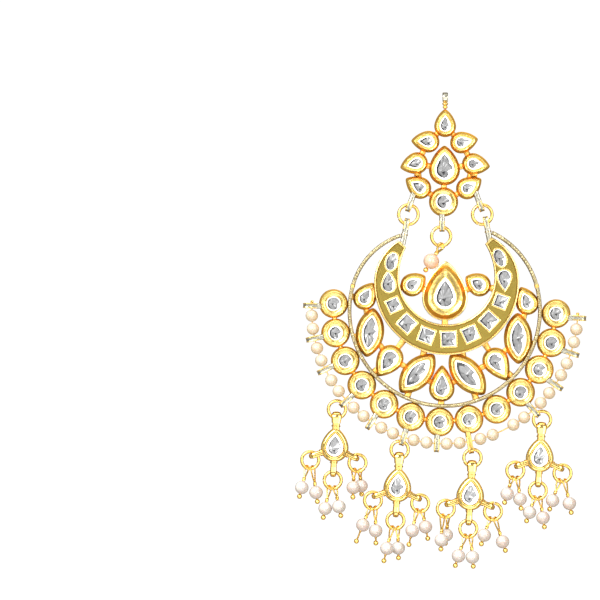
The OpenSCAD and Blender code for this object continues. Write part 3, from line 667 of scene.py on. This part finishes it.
def stone(part, girdle, table, at, turn, base_w, table_w, size, pale=0.0, grow=1.5):
    """A cut stone: girdle and crown of facets, and a table that shows a sharp-edged grey patch of painted
    reflection.
    """
    seed = [rng.random() for _ in range(6)]
    low = moved([(x, y, base_w) for x, y in girdle], at, turn)
    top = moved([(x, y, table_w - 0.32) for x, y in girdle], at, turn)
    flat = moved([(x, y, table_w) for x, y in table], at, turn)
    n = len(girdle)
    for i in range(n):
        j = (i + 1) % n
        # Painted shade on the girdle facets, and painted reflection on a quarter of the crown facets,
        # picked at random
        crown_reflection = 0.02 + 0.1 * (rng.random() > 0.75)
        part.facet([low[i], low[j], top[j], top[i]], 0.25)
        part.facet([top[i], top[j], flat[j], flat[i]], crown_reflection)
    cx = at[0] - size * (0.16 + 0.12 * seed[3])
    cy = at[1] + size * (0.10 * seed[4] - 0.05)
    painted_reflection_patch(part, flat, cx, cy, table_w - 0.03, seed, pale, grow)
    # A small dark spot of painted reflection in the patch
    sx = cx + size * (0.10 + 0.12 * seed[5])
    sy = cy - size * (0.12 + 0.2 * seed[2])
    r, w = size * 0.19, table_w + 0.02
    part.facet([(sx - r, sy + r * 0.4, w), (sx + r * 0.3, sy - r, w), (sx + r, sy + r * 0.8, w)],
               1.0 - 0.5 * pale)


def row_stone(part, row, table_w=2.12, crown=0.26, n=18, pale=0.0, grow=1.5):
    inset = row[6] + 0.02
    if row[0] == "round":
        n = 16
    stone(part, coarse(outline(row, inset), n), coarse(outline(row, inset + crown), n), (row[1], row[2]),
          row[5], SEAT, table_w, row[3] - row[6], pale, grow)


def cut_stone(kind, number, row, body, **look):
    """A numbered stone that is a piece of its own."""
    cut = Part(f"{kind}_cut_stone_{number}")
    row_stone(cut, row, **look)
    cut.build([GLASS], body, [f"{kind}_stone_{number}"], 20)


# Loops of flat wire, seen edge-on
def way_of(turn):
    """The way a loop points, with 0 up, and the way across it."""
    a = math.radians(turn)
    return Vector((-math.sin(a), math.cos(a), 0)), Vector((math.cos(a), math.sin(a), 0))


def strap_section(width, thick, groove):
    """The strap's section, grooved or rounded outside, with the painted shade and warmth of each point:
    painted shade in the groove, or on the edges and back of a rounded strap.
    """
    corners = rounded(width, thick, min(0.14, thick * 0.35))
    face = [(width * k / 10, -thick / 2) for k in range(-3, 4)]
    section, shade, warmth = [], [], []
    for x, y in corners[:12] + face + corners[12:]:
        off = abs(2 * x / width)
        bulge = 1 - off ** 2 if y < 0 else 0.0
        section.append((x, y + groove * bulge))
        if groove > 0:
            shade.append(0.5 * bulge)
        else:
            shade.append(0.75 * max(0.0, off - 0.45) / 0.55 if y < 0 else 0.5)
        warmth.append(min(1.0, max(0.0, (off - 0.45) / 0.2)))
    return section, shade, warmth


def strap_loop(part, root, turn, length, width, slot_l, thick=0.43, neck=1.0, dark=0.1, groove=0.1,
               swell=0.0):
    """A strap bent into a long loop. It points along turn (0 = up), its hole runs across."""
    d, across = way_of(turn)
    foot = Vector((*root, MID))
    out = 1.0 - thick / 2
    dome = 0.16 if groove > 0 else 0.42
    far = length - 1.0
    near = max(0.15, far - slot_l - 0.35)
    path, painted_shades, widths = [], [], []

    def put(x, z):
        path.append(tuple(foot + d * x + Vector((0, 0, z))))
        end = max(0.0, x - far)
        flare = 1 + swell * (2 * min(1.0, max(0.0, x / (length - 0.3))) - 1)
        widths.append(flare * (1 - dome * end * end))
        tip = max(0.0, (x - far + 0.2) / 0.9)
        base = max(0.0, 1 - x / 1.1)
        # Painted shade: dark in the loop's far end, as deep as dark says, and near its root, with a little
        # at random
        painted_shades.append(min(1.0, dark * tip ** 2 + 0.35 * base + 0.1 * rng.random()))

    for k in range(5):
        put(near + (far - near) * k / 4, out)
    for k in range(1, 12):
        t = math.pi / 2 - math.pi * k / 12
        put(far + out * math.cos(t), out * math.sin(t))
    for k in range(5):
        put(far + (near - far) * k / 4, -out)
    section, shade, warmth = strap_section(width, thick, groove)
    rings, tints = [], []
    for p, k, painted_shade, (side, normal) in zip(path, widths, painted_shades, frames_along(path, across)):
        rings.append([tuple(Vector(p) + side * (x * k) + normal * y) for x, y in section])
        tints.append([(min(1.0, painted_shade + dim), 0.3, warm) for dim, warm in zip(shade, warmth)])
    part.loft(rings, tints)
    # The stub at the root carries painted shade too
    stub = [tuple(foot + d * x) for x in (-0.5, near * 0.5, near + 0.25)]
    sweep(part, stub, rounded(width * neck, 1.86, 0.3), across, (0.35, 0.2, 0.0))


def plain_loops(part, rows):
    for x, y, turn, length in rows:
        strap_loop(part, (x, y), turn, length, LOOP_W, LOOP_SLOT)


def collar(part, at, turn, x, r1, r2, tint=(0.1, 0.5, 0.0)):
    """A small bead of gold round a loop's root: r1 across and r2 deep."""
    steps = 8
    d, across = way_of(turn)
    c = Vector((*at, MID)) + d * x
    rings = []
    for k in range(steps + 1):
        t = math.pi * (k + 0.1) / (steps + 0.2)
        rings.append([tuple(c - d * (0.42 * math.cos(t)) + across * (r1 * u) + Vector((0, 0, r2 * v)))
                      for u, v in circle(math.sin(t), 16, 0)])
    # The tint paints shade on the bead round the root
    part.loft(rings[::-1], [tint] * len(rings))


# Head pins
def head_pin(part, start, bead, wire_way, loop_half, bead_r, ball_at, wire_r, twist, shaded_tail=False):
    """A teardrop loop on the ring's wire, a wrapped neck, the pin below the pearl and its ball."""
    a, b = Vector(start), Vector(bead)
    way = (b - a).normalized()
    f = Vector(wire_way)
    face = (f - way * f.dot(way)).normalized()
    side = face.cross(way).normalized()
    tw = math.radians(twist)
    across = side * math.cos(tw) + face * math.sin(tw)
    pearl_top = (b - a).length - bead_r
    neck = pearl_top - min(0.75, pearl_top * 0.3)
    head = []
    for k in range(15):
        t = math.pi * (k / 14 - 0.5)
        head.append(a + across * (loop_half * math.sin(t)) - way * (0.56 * math.cos(t) - 0.02))
    foot = a + way * neck
    down = [head[-1].lerp(foot + across * 0.1, s) + across * (0.12 * math.sin(math.pi * s) * loop_half)
            for s in (0.33, 0.66, 1.0)]
    up = [(foot - across * 0.1).lerp(head[0], s) - across * (0.12 * math.sin(math.pi * s) * loop_half)
          for s in (0.0, 0.33, 0.66)]
    wire(part, [tuple(p) for p in up + head + down], wire_r, (0.12, 0.4, 0.0))
    # Painted shade: more on the coil, on a shaded tail and on the small bead against the pearl than on the
    # loop and ball
    coil = []
    turns, points, coil_r = 3, 10, 0.24
    for k in range(turns * points + 1):
        t = math.tau * k / points
        along = neck + (pearl_top - neck - 0.05) * k / (turns * points)
        coil.append(tuple(a + way * along + side * (coil_r * math.cos(t)) + face * (coil_r * math.sin(t))))
    wire(part, coil, wire_r * 0.95, (0.4, 0.5, 0.0), 7)
    tail = [tuple(a + way * (neck - 0.05)), tuple(b), tuple(b + way * (ball_at - 0.2))]
    wire(part, tail, wire_r + 0.02, (0.45 if shaded_tail else 0.2, 0.2, 0.0))
    ball(part, tuple(b + way * (ball_at - 0.08)), 0.57, (0.1, 0.7, 0.0), rows=10, cols=14)
    ball(part, tuple(b + way * (bead_r + 0.05)), 0.28, (0.7, 0.3, 0.0), rows=6, cols=10)


# The flower
flower_set = Part("flower_bezels")
for row in FLOWER:
    bezel(flower_set, row, set_profile(row[6], 0.54 if row is FLOWER[8] else 0.48))
flower_set.build([SET_GOLD], "flower", ["flower_frame"])

flower_solder = Part("flower_solder")
petals = FLOWER[:8]
for row, after in zip(petals, petals[1:] + petals[:1]):
    solder(flower_solder, row[1:3], after[1:3])
for i in (2, 4, 6):
    solder(flower_solder, FLOWER[8][1:3], FLOWER[i][1:3])
for p, q in (((-6.6, -1.25), (-5.3, -1.6)), ((5.9, -1.4), (7.2, -1.55))):
    solder(flower_solder, p, q, width=0.9, top=1.9)
flower_solder.build([SOLDER], "flower", ["flower_frame"])

flower_loops = Part("flower_loops")
plain_loops(flower_loops, FLOWER_LOOPS)
chain_loop = [(CHAIN_LOOP_AT[0], y, w) for w, y in
              arc((MID, CHAIN_LOOP_AT[1]), CHAIN_LOOP_R, math.radians(-79), math.radians(259), 32)]
# The chain loop darkens towards its top with painted shade
sweep(flower_loops, chain_loop, [(x, y * 0.95) for x, y in rounded(1.18, 0.52, 0.2)], (1, 0, 0),
      tints=[(min(1.0, 2.2 * max(0.0, (p[1] - 15.8) / 0.65)), 0.3, 0.0) for p in chain_loop])
flower_loops.build([SILVER], "flower", ["flower_frame"])

flower_knobs = Part("flower_knobs")
collar(flower_knobs, (CHAIN_LOOP_AT[0], 14.12), 0, 0.0, 0.66, 0.62)
collar(flower_knobs, (CHAIN_LOOP_AT[0], 13.4), 0, 0.0, 0.55, 0.55, (0.5, 0.4, 0.0))
for x, y, turn, length in FLOWER_LOOPS:
    collar(flower_knobs, (x, y), turn, 0.55 if y < -8 else 0.5, 0.66, 0.9, (0.35, 0.5, 0.0))
flower_knobs.build([SET_GOLD], "flower", ["flower_frame"])

for number, row in enumerate(FLOWER, 1):
    cut_stone("flower", number, row, "flower", crown=0.32 if row is FLOWER[8] else 0.26)

for name, node_name, at, r, body, cut_at in (
        ("link_ring_left", "ring_left", SIDE_RINGS[0], SIDE_RING_R, "chand", 200),
        ("link_ring_right", "ring_right", SIDE_RINGS[1], SIDE_RING_R, "chand", 250),
        ("link_ring_centre", "ring_centre", CENTRE_RING, CENTRE_RING_R, "flower", 150)):
    link = Part(name)
    ring(link, at, r, cut_at)
    link.build([WIRE_GOLD], body, [node_name])

centre_start = (CENTRE_RING[0], CENTRE_RING[1] - CENTRE_RING_R, MID)
centre_pin = Part("centre_head_pin")
head_pin(centre_pin, centre_start, CENTRE_BEAD, (1, 0, 0), loop_half=0.8, bead_r=CENTRE_PEARL_R,
         ball_at=2.35, wire_r=0.26, twist=52)
centre_pin.build([WIRE_GOLD], "flower", ["centre_pin"])

centre_bead = Part("centre_round_pearl")
pearl(centre_bead, CENTRE_BEAD, CENTRE_PEARL_R, Vector(CENTRE_BEAD) - Vector(centre_start), 0.35)
centre_bead.build([PEARL_PEACH], "flower", ["centre_pearl"])

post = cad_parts["ear_post"]
post.data.materials.clear()
post.data.materials.append(STEEL)


# The crescent
def ray_to_circle(d, centre, r):
    """How far a ray from the crescent's centre runs along d before it leaves a circle."""
    along = centre[0] * d[0] + centre[1] * d[1]
    return along + math.sqrt(along * along - centre[0] ** 2 - centre[1] ** 2 + r ** 2)


def crescent_radii(d):
    """Inner and outer radius of the crescent on a ray along d."""
    s = 1 if d[0] >= 0 else -1
    outer = CRESCENT_R if d[1] <= 0 else ray_to_circle(d, (HORN_SHIFT * s, 0), HORN_R)
    inner = ray_to_circle(d, OPENING_AT, OPENING_R)
    if d[1] * inner > OPENING_AT[1]:
        side_shift = OPENING_SIDE_R - OPENING_R
        inner = ray_to_circle(d, (OPENING_AT[0] - side_shift * s, OPENING_AT[1]), OPENING_SIDE_R)
    return inner, outer


def on_crescent(x, y):
    return moved([(x, y, 0)], CRESCENT_AT, CRESCENT_TURN)[0][:2]


def crescent_section(d, to_end):
    """The plate's section on a ray along d, to_end degrees from its end: edges, lips and face."""
    inner, outer = crescent_radii(d)
    lip = 2.45
    face = 2.1 if to_end > 2.2 else 2.43
    if to_end < 0.05:
        lip = face = 2.3
    half = [(0.1, 0.0), (0.0, 0.2), (0.0, 2.2), (0.08, lip - 0.06), (0.2, lip), (0.34, lip - 0.02),
            (0.46, (lip + face) / 2), (0.54, face), (0.7, face)]
    both = [(inner + x, w) for x, w in half] + [(outer - x, w) for x, w in half[::-1]]
    return [(*on_crescent(r * d[0], r * d[1]), w) for r, w in both]


PLATE_END = 133
PLATE_SWEEP = 129.6
LAST_STEPS = [0, 0.15, 2.0, 2.5]
phis = [step - PLATE_END for step in LAST_STEPS] + [PLATE_SWEEP * (k / 65 - 1) for k in range(131)] \
    + [PLATE_END - step for step in LAST_STEPS[::-1]]
# Painted shade across the plate's section: on its walls and where each lip falls to the face, none on the
# lips
painted_shades = [0.7, 0.8, 0.7, 0.3, 0.0, 0.0, 0.8, 1.0, 0.2]
plate = Part("crescent_plate")
sections = [crescent_section(below(phi, 1), PLATE_END - abs(phi)) for phi in phis]
plate.loft(sections, [[(c, 0.5, 0.0) for c in painted_shades + painted_shades[::-1]]] * len(sections))
# The face between the lips, which stops short of both ends, has the second material
for k in range(3, len(sections) - 4):
    for i in (7, 8, 9):
        plate.mats[k * 2 * len(painted_shades) + i] = 1
plate.build([EDGE_GOLD, FACE_GOLD], "chand", ["chand_frame"], 40)


def crescent_cut(kind, half, length, grow):
    if kind == "box":
        a, b = length + grow, half + grow
        points = []
        corners = [(-a, -b), (a, -b), (a, b), (-a, b)]
        for (x0, y0), (x1, y1) in zip(corners, corners[1:] + corners[:1]):
            points += [(x0 + (x1 - x0) * k / 4, y0 + (y1 - y0) * k / 4) for k in range(4)]
        return points
    if kind == "oval":
        return [(x * (length + grow), y * (half + grow)) for x, y in circle(1, 20)]
    return [(half / 3 - y, x) for x, y in coarse(pear(half, length, -grow), 20)]


# The setting line round a flush stone: growth, height, painted shade
LINE_PROFILE = ((0.24, 2.09, 0.9), (0.2, 2.16, 0.2), (0.1, 2.18, 0.0), (0.0, 2.16, 0.6), (-0.06, 2.0, 1.0))
settings = Part("crescent_setting_lines")
cuts = Part("crescent_cut_stones")
for phi, kind, half, length in CRESCENT_ROW:
    at = on_crescent(*below(phi, CRESCENT_ROW_R, CRESCENT_ROW_AT))
    turn = phi + CRESCENT_TURN
    rings = [moved([(x, y, w) for x, y in crescent_cut(kind, half, length, grow)], at, turn)
             for grow, w, _ in LINE_PROFILE]
    settings.loft(rings, [(painted_shade, 0.9, 0.0) for _, _, painted_shade in LINE_PROFILE], cap=(False, False))
    stone(cuts, crescent_cut(kind, half, length, -0.01), crescent_cut(kind, half, length, -0.14), at, turn,
          base_w=1.9, table_w=2.17, size=min(half, length), grow=1.7)
settings.build([LINE_GOLD], "chand", ["chand_frame"], 60)
cuts.build([GLASS], "chand", ["crescent_stones"], 20)

# The bezels inside the crescent, between it and the hoop, and on the rim
main_plate = Part("main_pear_plate")
wide = ("pear", MAIN[1], MAIN[2], MAIN[3] + 0.35, MAIN[4] + 0.85, MAIN[5], 0)
bezel(main_plate, wide, PLATE_PROFILE, 0.0)
main_plate.build([EDGE_GOLD], "chand", ["chand_frame"])

chand_set = Part("chand_bezels")
bezel(chand_set, MAIN, MAIN_PROFILE)
for row in TRIO + INNER:
    bezel(chand_set, row, set_profile(row[6], 0.6 if row[0] == "leaf" else 0.48))
chand_set.build([SET_GOLD], "chand", ["chand_frame"])

rims = Part("rim_bezels")
for i in range(RIM_N):
    rim_bezel(rims, rim_place(i), rng.random())
rims.build([SET_GOLD], "chand", ["chand_frame"])

eyes = Part("rim_loops")
gold_eye = Part("rim_loop_of_gold")
for i in range(RIM_N):
    if i != BARE_EYE:
        length = eye_end(i) - EYE_ROOT
        strap_loop(gold_eye if i == GOLD_EYE else eyes, below(eye_angle(i), EYE_ROOT, HOOP_AT),
                   eye_angle(i) + 180, length, LOOP_W, length - EYE_SOLID)
gold_eye.build([CAST_GOLD], "chand", ["chand_frame"])
plain_loops(eyes, HORN_LOOPS)
eyes.build([SILVER], "chand", ["chand_frame"])


# The hoop
def angle_of(s, point):
    """Degrees from straight down, counted upwards on the side s."""
    return 180 - s * math.degrees(math.atan2(point[0], point[1]))


def hoop_path():
    """The hoop's big arc and the smaller arcs that close in to the horns, as plan points."""
    points = [below(HOOP_BEND * (k / 75 - 1), HOOP_R, HOOP_AT) for k in range(151)]
    for x, y, _, _ in HORN_LOOPS:
        s = 1 if x > 0 else -1
        target = (x + s * HOOP_END[0] - HOOP_AT[0], y + HOOP_END[1] - HOOP_AT[1])
        reach = math.hypot(*target)
        lean = math.cos(math.radians(angle_of(s, target) - HOOP_BEND))
        shift = (HOOP_R ** 2 - reach ** 2) / (2 * (HOOP_R - reach * lean))
        c = below(s * HOOP_BEND, shift)
        turn = angle_of(s, (target[0] - c[0], target[1] - c[1])) - HOOP_BEND
        centre = (HOOP_AT[0] + c[0], HOOP_AT[1] + c[1])
        extra = [below(s * (HOOP_BEND + turn * k / 24), HOOP_R - shift, centre) for k in range(1, 25)]
        points = points + extra if s > 0 else extra[::-1] + points
    return [(x, y, MID) for x, y in points]


hoop = Part("hoop_strip")
coarse_path = hoop_path()
fine_path = [tuple(Vector(a).lerp(Vector(b), k / 3)) for a, b in zip(coarse_path, coarse_path[1:])
             for k in range(3)] + coarse_path[-1:]
# The ribs swell and narrow the strip; the narrow places carry more painted shade
ribs = [0.93 + 0.07 * math.sin(k * 2.1) for k in range(len(fine_path))]
sweep(hoop, fine_path, rounded(1.8, 0.9, 0.3), FRONT, scale=ribs,
      tints=[(0.25 + 0.2 * (1 - (r - 0.86) / 0.14), 0.4, 0.0) for r in ribs])
hoop.build([HOOP_GOLD], "chand", ["chand_frame"], 60)


# The solder of the chand
def toward(p, q, s):
    """The point s along the way from p to q."""
    v = Vector(p) + (Vector(q) - Vector(p)).normalized() * s
    return (v.x, v.y)


ties = Part("chand_solder")
opening = (CRESCENT_AT[0] + OPENING_AT[0], CRESCENT_AT[1] + OPENING_AT[1])
for row in TRIO:
    solder(ties, row[1:3], MAIN[1:3])
    solder(ties, row[1:3], toward(row[1:3], opening, -3.2))
solder(ties, MAIN[1:3], (MAIN[1], MAIN[2] - MAIN[3] - 1.8))
for row in INNER:
    solder(ties, row[1:3], toward(HOOP_AT, row[1:3], HOOP_R))
for a, b in zip(INNER, INNER[1:]):
    solder(ties, a[1:3], b[1:3])
for i in CRESCENT_TIES:
    solder(ties, INNER[i][1:3], toward(CRESCENT_AT, INNER[i][1:3], CRESCENT_R - 0.5))
for i in range(RIM_N):
    solder(ties, rim_place(i), below(rim_angle(i), HOOP_R, HOOP_AT), top=1.3)
    if i < RIM_N - 1:
        solder(ties, rim_place(i), rim_place(i + 1), width=1.1, top=1.7)
for x, y, turn, length in HORN_LOOPS:
    collar(ties, (x, y), turn, 1.7, 0.78, 0.98, (0.3, 0.5, 0.0))
for s in (-1, 1):
    sweep(ties, [(*below(s * (HOOP_BEND + 0.95 * k), HOOP_R, HOOP_AT), MID) for k in (-1, 0, 1)],
          rounded(1.9, 1.0, 0.3), FRONT, (0.5, 0.5, 0.0))
ties.build([SOLDER], "chand", ["chand_frame"])

# The stones of the chand
main_cut = Part("main_cut_stone")
row_stone(main_cut, MAIN, table_w=2.62, crown=0.42, n=28, grow=2.4)
main_cut.build([GLASS], "chand", ["main_stone"], 20)
for kind, rows in (("trio", TRIO), ("inner", INNER)):
    for number, row in enumerate(rows, 1):
        cut_stone(kind, number, row, "chand")

rim_cut = Part("rim_cut_stones")
for i in range(RIM_N):
    stone(rim_cut, circle(RIM_STONE_R, 16), circle(RIM_STONE_R - 0.2, 16), rim_place(i), turn=0,
          base_w=SEAT, table_w=2.1, size=RIM_STONE_R, grow=1.65)
rim_cut.build([GLASS], "chand", ["rim_stones"], 20)

# The rim's pearls and their thread
rim_beads = Part("rim_round_pearls")
half_step = math.degrees(math.asin((RIM_PEARL_R + PEARL_GAP) / PEARL_ROW_R))
for i in range(RIM_N - 1):
    for s in (-1, 1):
        a = (eye_angle(i) + eye_angle(i + 1)) / 2 + s * half_step
        way = (math.cos(math.radians(a)), math.sin(math.radians(a)), 0)
        pearl(rim_beads, (*below(a, PEARL_ROW_R, HOOP_AT), MID), RIM_PEARL_R, way, 0.2 + 0.5 * rng.random())
rim_beads.build([PEARL], "chand", ["rim_pearls"])

thread = Part("rim_bead_thread")
first, last = eye_angle(0), eye_angle(RIM_N - 1)
a0, a1 = first - 2.2, last + 2.2
wire(thread, [(*below(a0 + (a1 - a0) * k / 150, PEARL_ROW_R, HOOP_AT), MID) for k in range(151)], 0.15,
     (0.1, 0.5, 0.0))
for a, s in ((first, -1), (last, 1)):
    coil = []
    for k in range(25):
        t = math.tau * k / 8
        p = below(a + s * (1.35 + 0.8 * k / 24), PEARL_ROW_R + 0.24 * math.cos(t), HOOP_AT)
        coil.append((*p, MID + 0.24 * math.sin(t)))
    wire(thread, coil, 0.12, (0.2, 0.5, 0.0), 7)
thread.build([WIRE_GOLD], "chand", ["rim_thread"])


# The drops
def drop_frame(part, placed, row):
    """A cast pear with a strap above for the jump ring, and three arms for the rings below."""
    bezel(part, row, CAST_PROFILE, 0.0)
    neck = placed(0, -4.6)[:2]
    strap_loop(part, neck, DROP_LEAN, 3.95, 2.0, 1.0, 0.5, neck=0.8, dark=0.5, groove=-0.2, swell=0.18)
    collar(part, neck, DROP_LEAN, 0.95, 1.02, 1.0)
    collar(part, neck, DROP_LEAN, 1.75, 0.92, 0.98, (0.6, 0.5, 0.0))
    for turn, length, width in ((-90 - ARM_TURN, 3.4, 1.2), (90 + ARM_TURN, 3.4, 1.2), (180, 3.85, 1.34)):
        x, y = below(turn + 180, 2.4)
        root = placed(DROP[1] + x, DROP[2] + y)[:2]
        strap_loop(part, root, turn + DROP_LEAN, length, width, 0.75, 0.46, dark=0.35, groove=-0.16,
                   swell=0.14)
        collar(part, root, turn + DROP_LEAN, 0.8, width * 0.66, 0.98, (0.15, 0.5, 0.0))


for number, (eye, pins_of_drop) in enumerate(zip(DROP_EYES, DROP_PINS), 1):
    hang_r = eye_end(eye) - LOOP_END - RING_WIRE - RING_PLAY + DROP_RING_R
    origin = below(eye_angle(eye), hang_r, HOOP_AT)

    def placed(x, y, w=MID, origin=origin):
        return moved([(x, y, w)], origin, DROP_LEAN)[0]

    jump = Part(f"drop_jump_ring_{number}")
    ring(jump, origin, DROP_RING_R, 80 * number - 40)
    jump.build([WIRE_GOLD], "chand", [f"drop_ring_{number}"])

    row = (DROP[0], *placed(DROP[1], DROP[2])[:2], DROP[3], DROP[4], DROP_LEAN, DROP[6])
    cast = Part(f"drop_cast_frame_{number}")
    drop_frame(cast, placed, row)
    cast.build([CAST_GOLD], "chand", [f"drop_frame_{number}"])

    cut_stone("drop", number, row, "chand", table_w=2.14, crown=0.35, pale=0.2)

    links = Part(f"drop_arm_rings_{number}")
    pins = Part(f"drop_head_pins_{number}")
    beads = Part(f"drop_round_pearls_{number}")
    for k, at in enumerate(ARM_RINGS):
        ring(links, placed(*at)[:2], ARM_RING_R, rng.random() * 360)
        for side, (across, down, depth, ball_at) in zip((-1, 1), pins_of_drop[2 * k:2 * k + 2]):
            a = placed(*below(side * PIN_HANG, ARM_RING_R, at))
            b = placed(at[0] + across, at[1] - down, MID + depth)
            t = math.radians(side * PIN_HANG + DROP_LEAN)
            head_pin(pins, a, b, (math.cos(t), math.sin(t), 0), loop_half=0.62, bead_r=DROP_PEARL_R,
                     ball_at=ball_at, wire_r=0.19, twist=side * PIN_TWIST, shaded_tail=ball_at > 2.5)
            pearl(beads, b, DROP_PEARL_R, Vector(b) - Vector(a), 0.15 + 0.6 * rng.random())
    links.build([WIRE_GOLD], "chand", [f"drop_links_{number}"])
    pins.build([WIRE_GOLD], "chand", [f"drop_pins_{number}"])
    beads.build([PEARL_PINK], "chand", [f"drop_pearls_{number}"])

# Floor and ground: plain white to the camera, and out of the object's light
GROUND = 2.4
FLOOR_HALF = 40.0
FLOOR_Z = -0.1
floor_mesh = bpy.data.meshes.new("floor")
corners = ((-1, -1), (1, -1), (1, 1), (-1, 1))
floor_mesh.from_pydata([(x * FLOOR_HALF, y * FLOOR_HALF, FLOOR_Z) for x, y in corners], [], [[0, 1, 2, 3]])
paint, tree, coat = nodes_of("floor_paint")
feed(tree, coat, Base_Color=(0.02, 0.02, 0.02, 1), Roughness=0.9, Specular_IOR_Level=0.1,
     Emission_Color=(1, 1, 1, 1), Emission_Strength=GROUND)
floor_mesh.materials.append(paint)
floor = new_object("floor", floor_mesh)
floor.visible_diffuse = floor.visible_glossy = floor.visible_shadow = False

# The studio round the object, from in front of it (0) to behind it (1)
world = bpy.data.worlds.new("studio")
bpy.context.scene.world = world
world.use_nodes = True
sky = world.node_tree
axes = node(sky, "ShaderNodeSeparateXYZ", Vector=coordinate(sky, "Generated"))
depth = math_node(sky, "MULTIPLY_ADD", axes.outputs[1], 0.5, 0.5)
studio = ramp(sky, [(0.0, grey(0.8)), (0.28, (0.9, 0.9, 0.88)), (0.45, (1.6, 1.58, 1.5)),
                    (0.62, (1.6, 1.58, 1.5)), (0.8, (1.15, 1.1, 1.0)), (0.93, (0.45, 0.42, 0.36)),
                    (1.0, (0.2, 0.18, 0.15))], depth)
around = feed(sky, sky.nodes["Background"], Color=studio, Strength=1.1)
plain = node(sky, "ShaderNodeBackground", Color=(1, 1, 1, 1), Strength=GROUND)
both = node(sky, "ShaderNodeMixShader")
camera_ray = node(sky, "ShaderNodeLightPath").outputs["Is Camera Ray"]
for socket, value in zip(both.inputs, (camera_ray, around.outputs[0], plain.outputs[0])):
    sky.links.new(value, socket)
sky.links.new(both.outputs[0], sky.nodes["World Output"].inputs["Surface"])


def area(name, at, size, power):
    """A soft rectangular lamp that points at the middle of the earring and hides from the camera."""
    lamp = bpy.data.lights.new(name, "AREA")
    lamp.shape, lamp.size, lamp.size_y, lamp.energy = "RECTANGLE", size[0], size[1], power
    obj = new_object(name, lamp)
    obj.location = at
    obj.rotation_euler = (Vector((0, 0, -0.035)) - Vector(at)).to_track_quat("-Z", "Y").to_euler()
    obj.visible_camera = False


area("key", (-0.42, -0.85, 0.38), (0.5, 0.5), 25)
area("fill", (0.5, -0.8, 0.1), (0.4, 0.7), 12)
area("top", (0.05, -0.1, 0.7), (0.6, 0.35), 6)
area("low", (-0.1, -0.7, -0.095), (0.7, 0.12), 1.5)
area("under", (0, -0.6, -0.62), (0.7, 0.4), 6)
area("back", (0.1, 0.8, 0.3), (0.7, 0.6), 3)

# The camera looks straight at the front. The photo is PHOTO_SIDE pixels wide, with the row frame's
# origin at the pixel ORIGIN_AT
PHOTO_SIDE = 600
ORIGIN_AT = (444.5, 168)
PIXEL = 0.22 * MM
DISTANCE = 1.3
SENSOR = 36
lens = bpy.data.cameras.new("camera")
lens.sensor_width = SENSOR
lens.lens = SENSOR * DISTANCE / (PHOTO_SIDE * PIXEL)
lens.clip_start, lens.clip_end = 0.05, 50
cam = new_object("camera", lens)
cam.location = ((PHOTO_SIDE / 2 - ORIGIN_AT[0]) * PIXEL, -DISTANCE - MID * MM,
                (ORIGIN_AT[1] - PHOTO_SIDE / 2) * PIXEL)
cam.rotation_euler = (math.radians(90), 0, 0)
bpy.context.scene.camera = cam
# The plain view keeps the ground white and the golds saturated
bpy.context.scene.view_settings.view_transform = "Standard"
bpy.context.scene.view_settings.exposure = -1.2
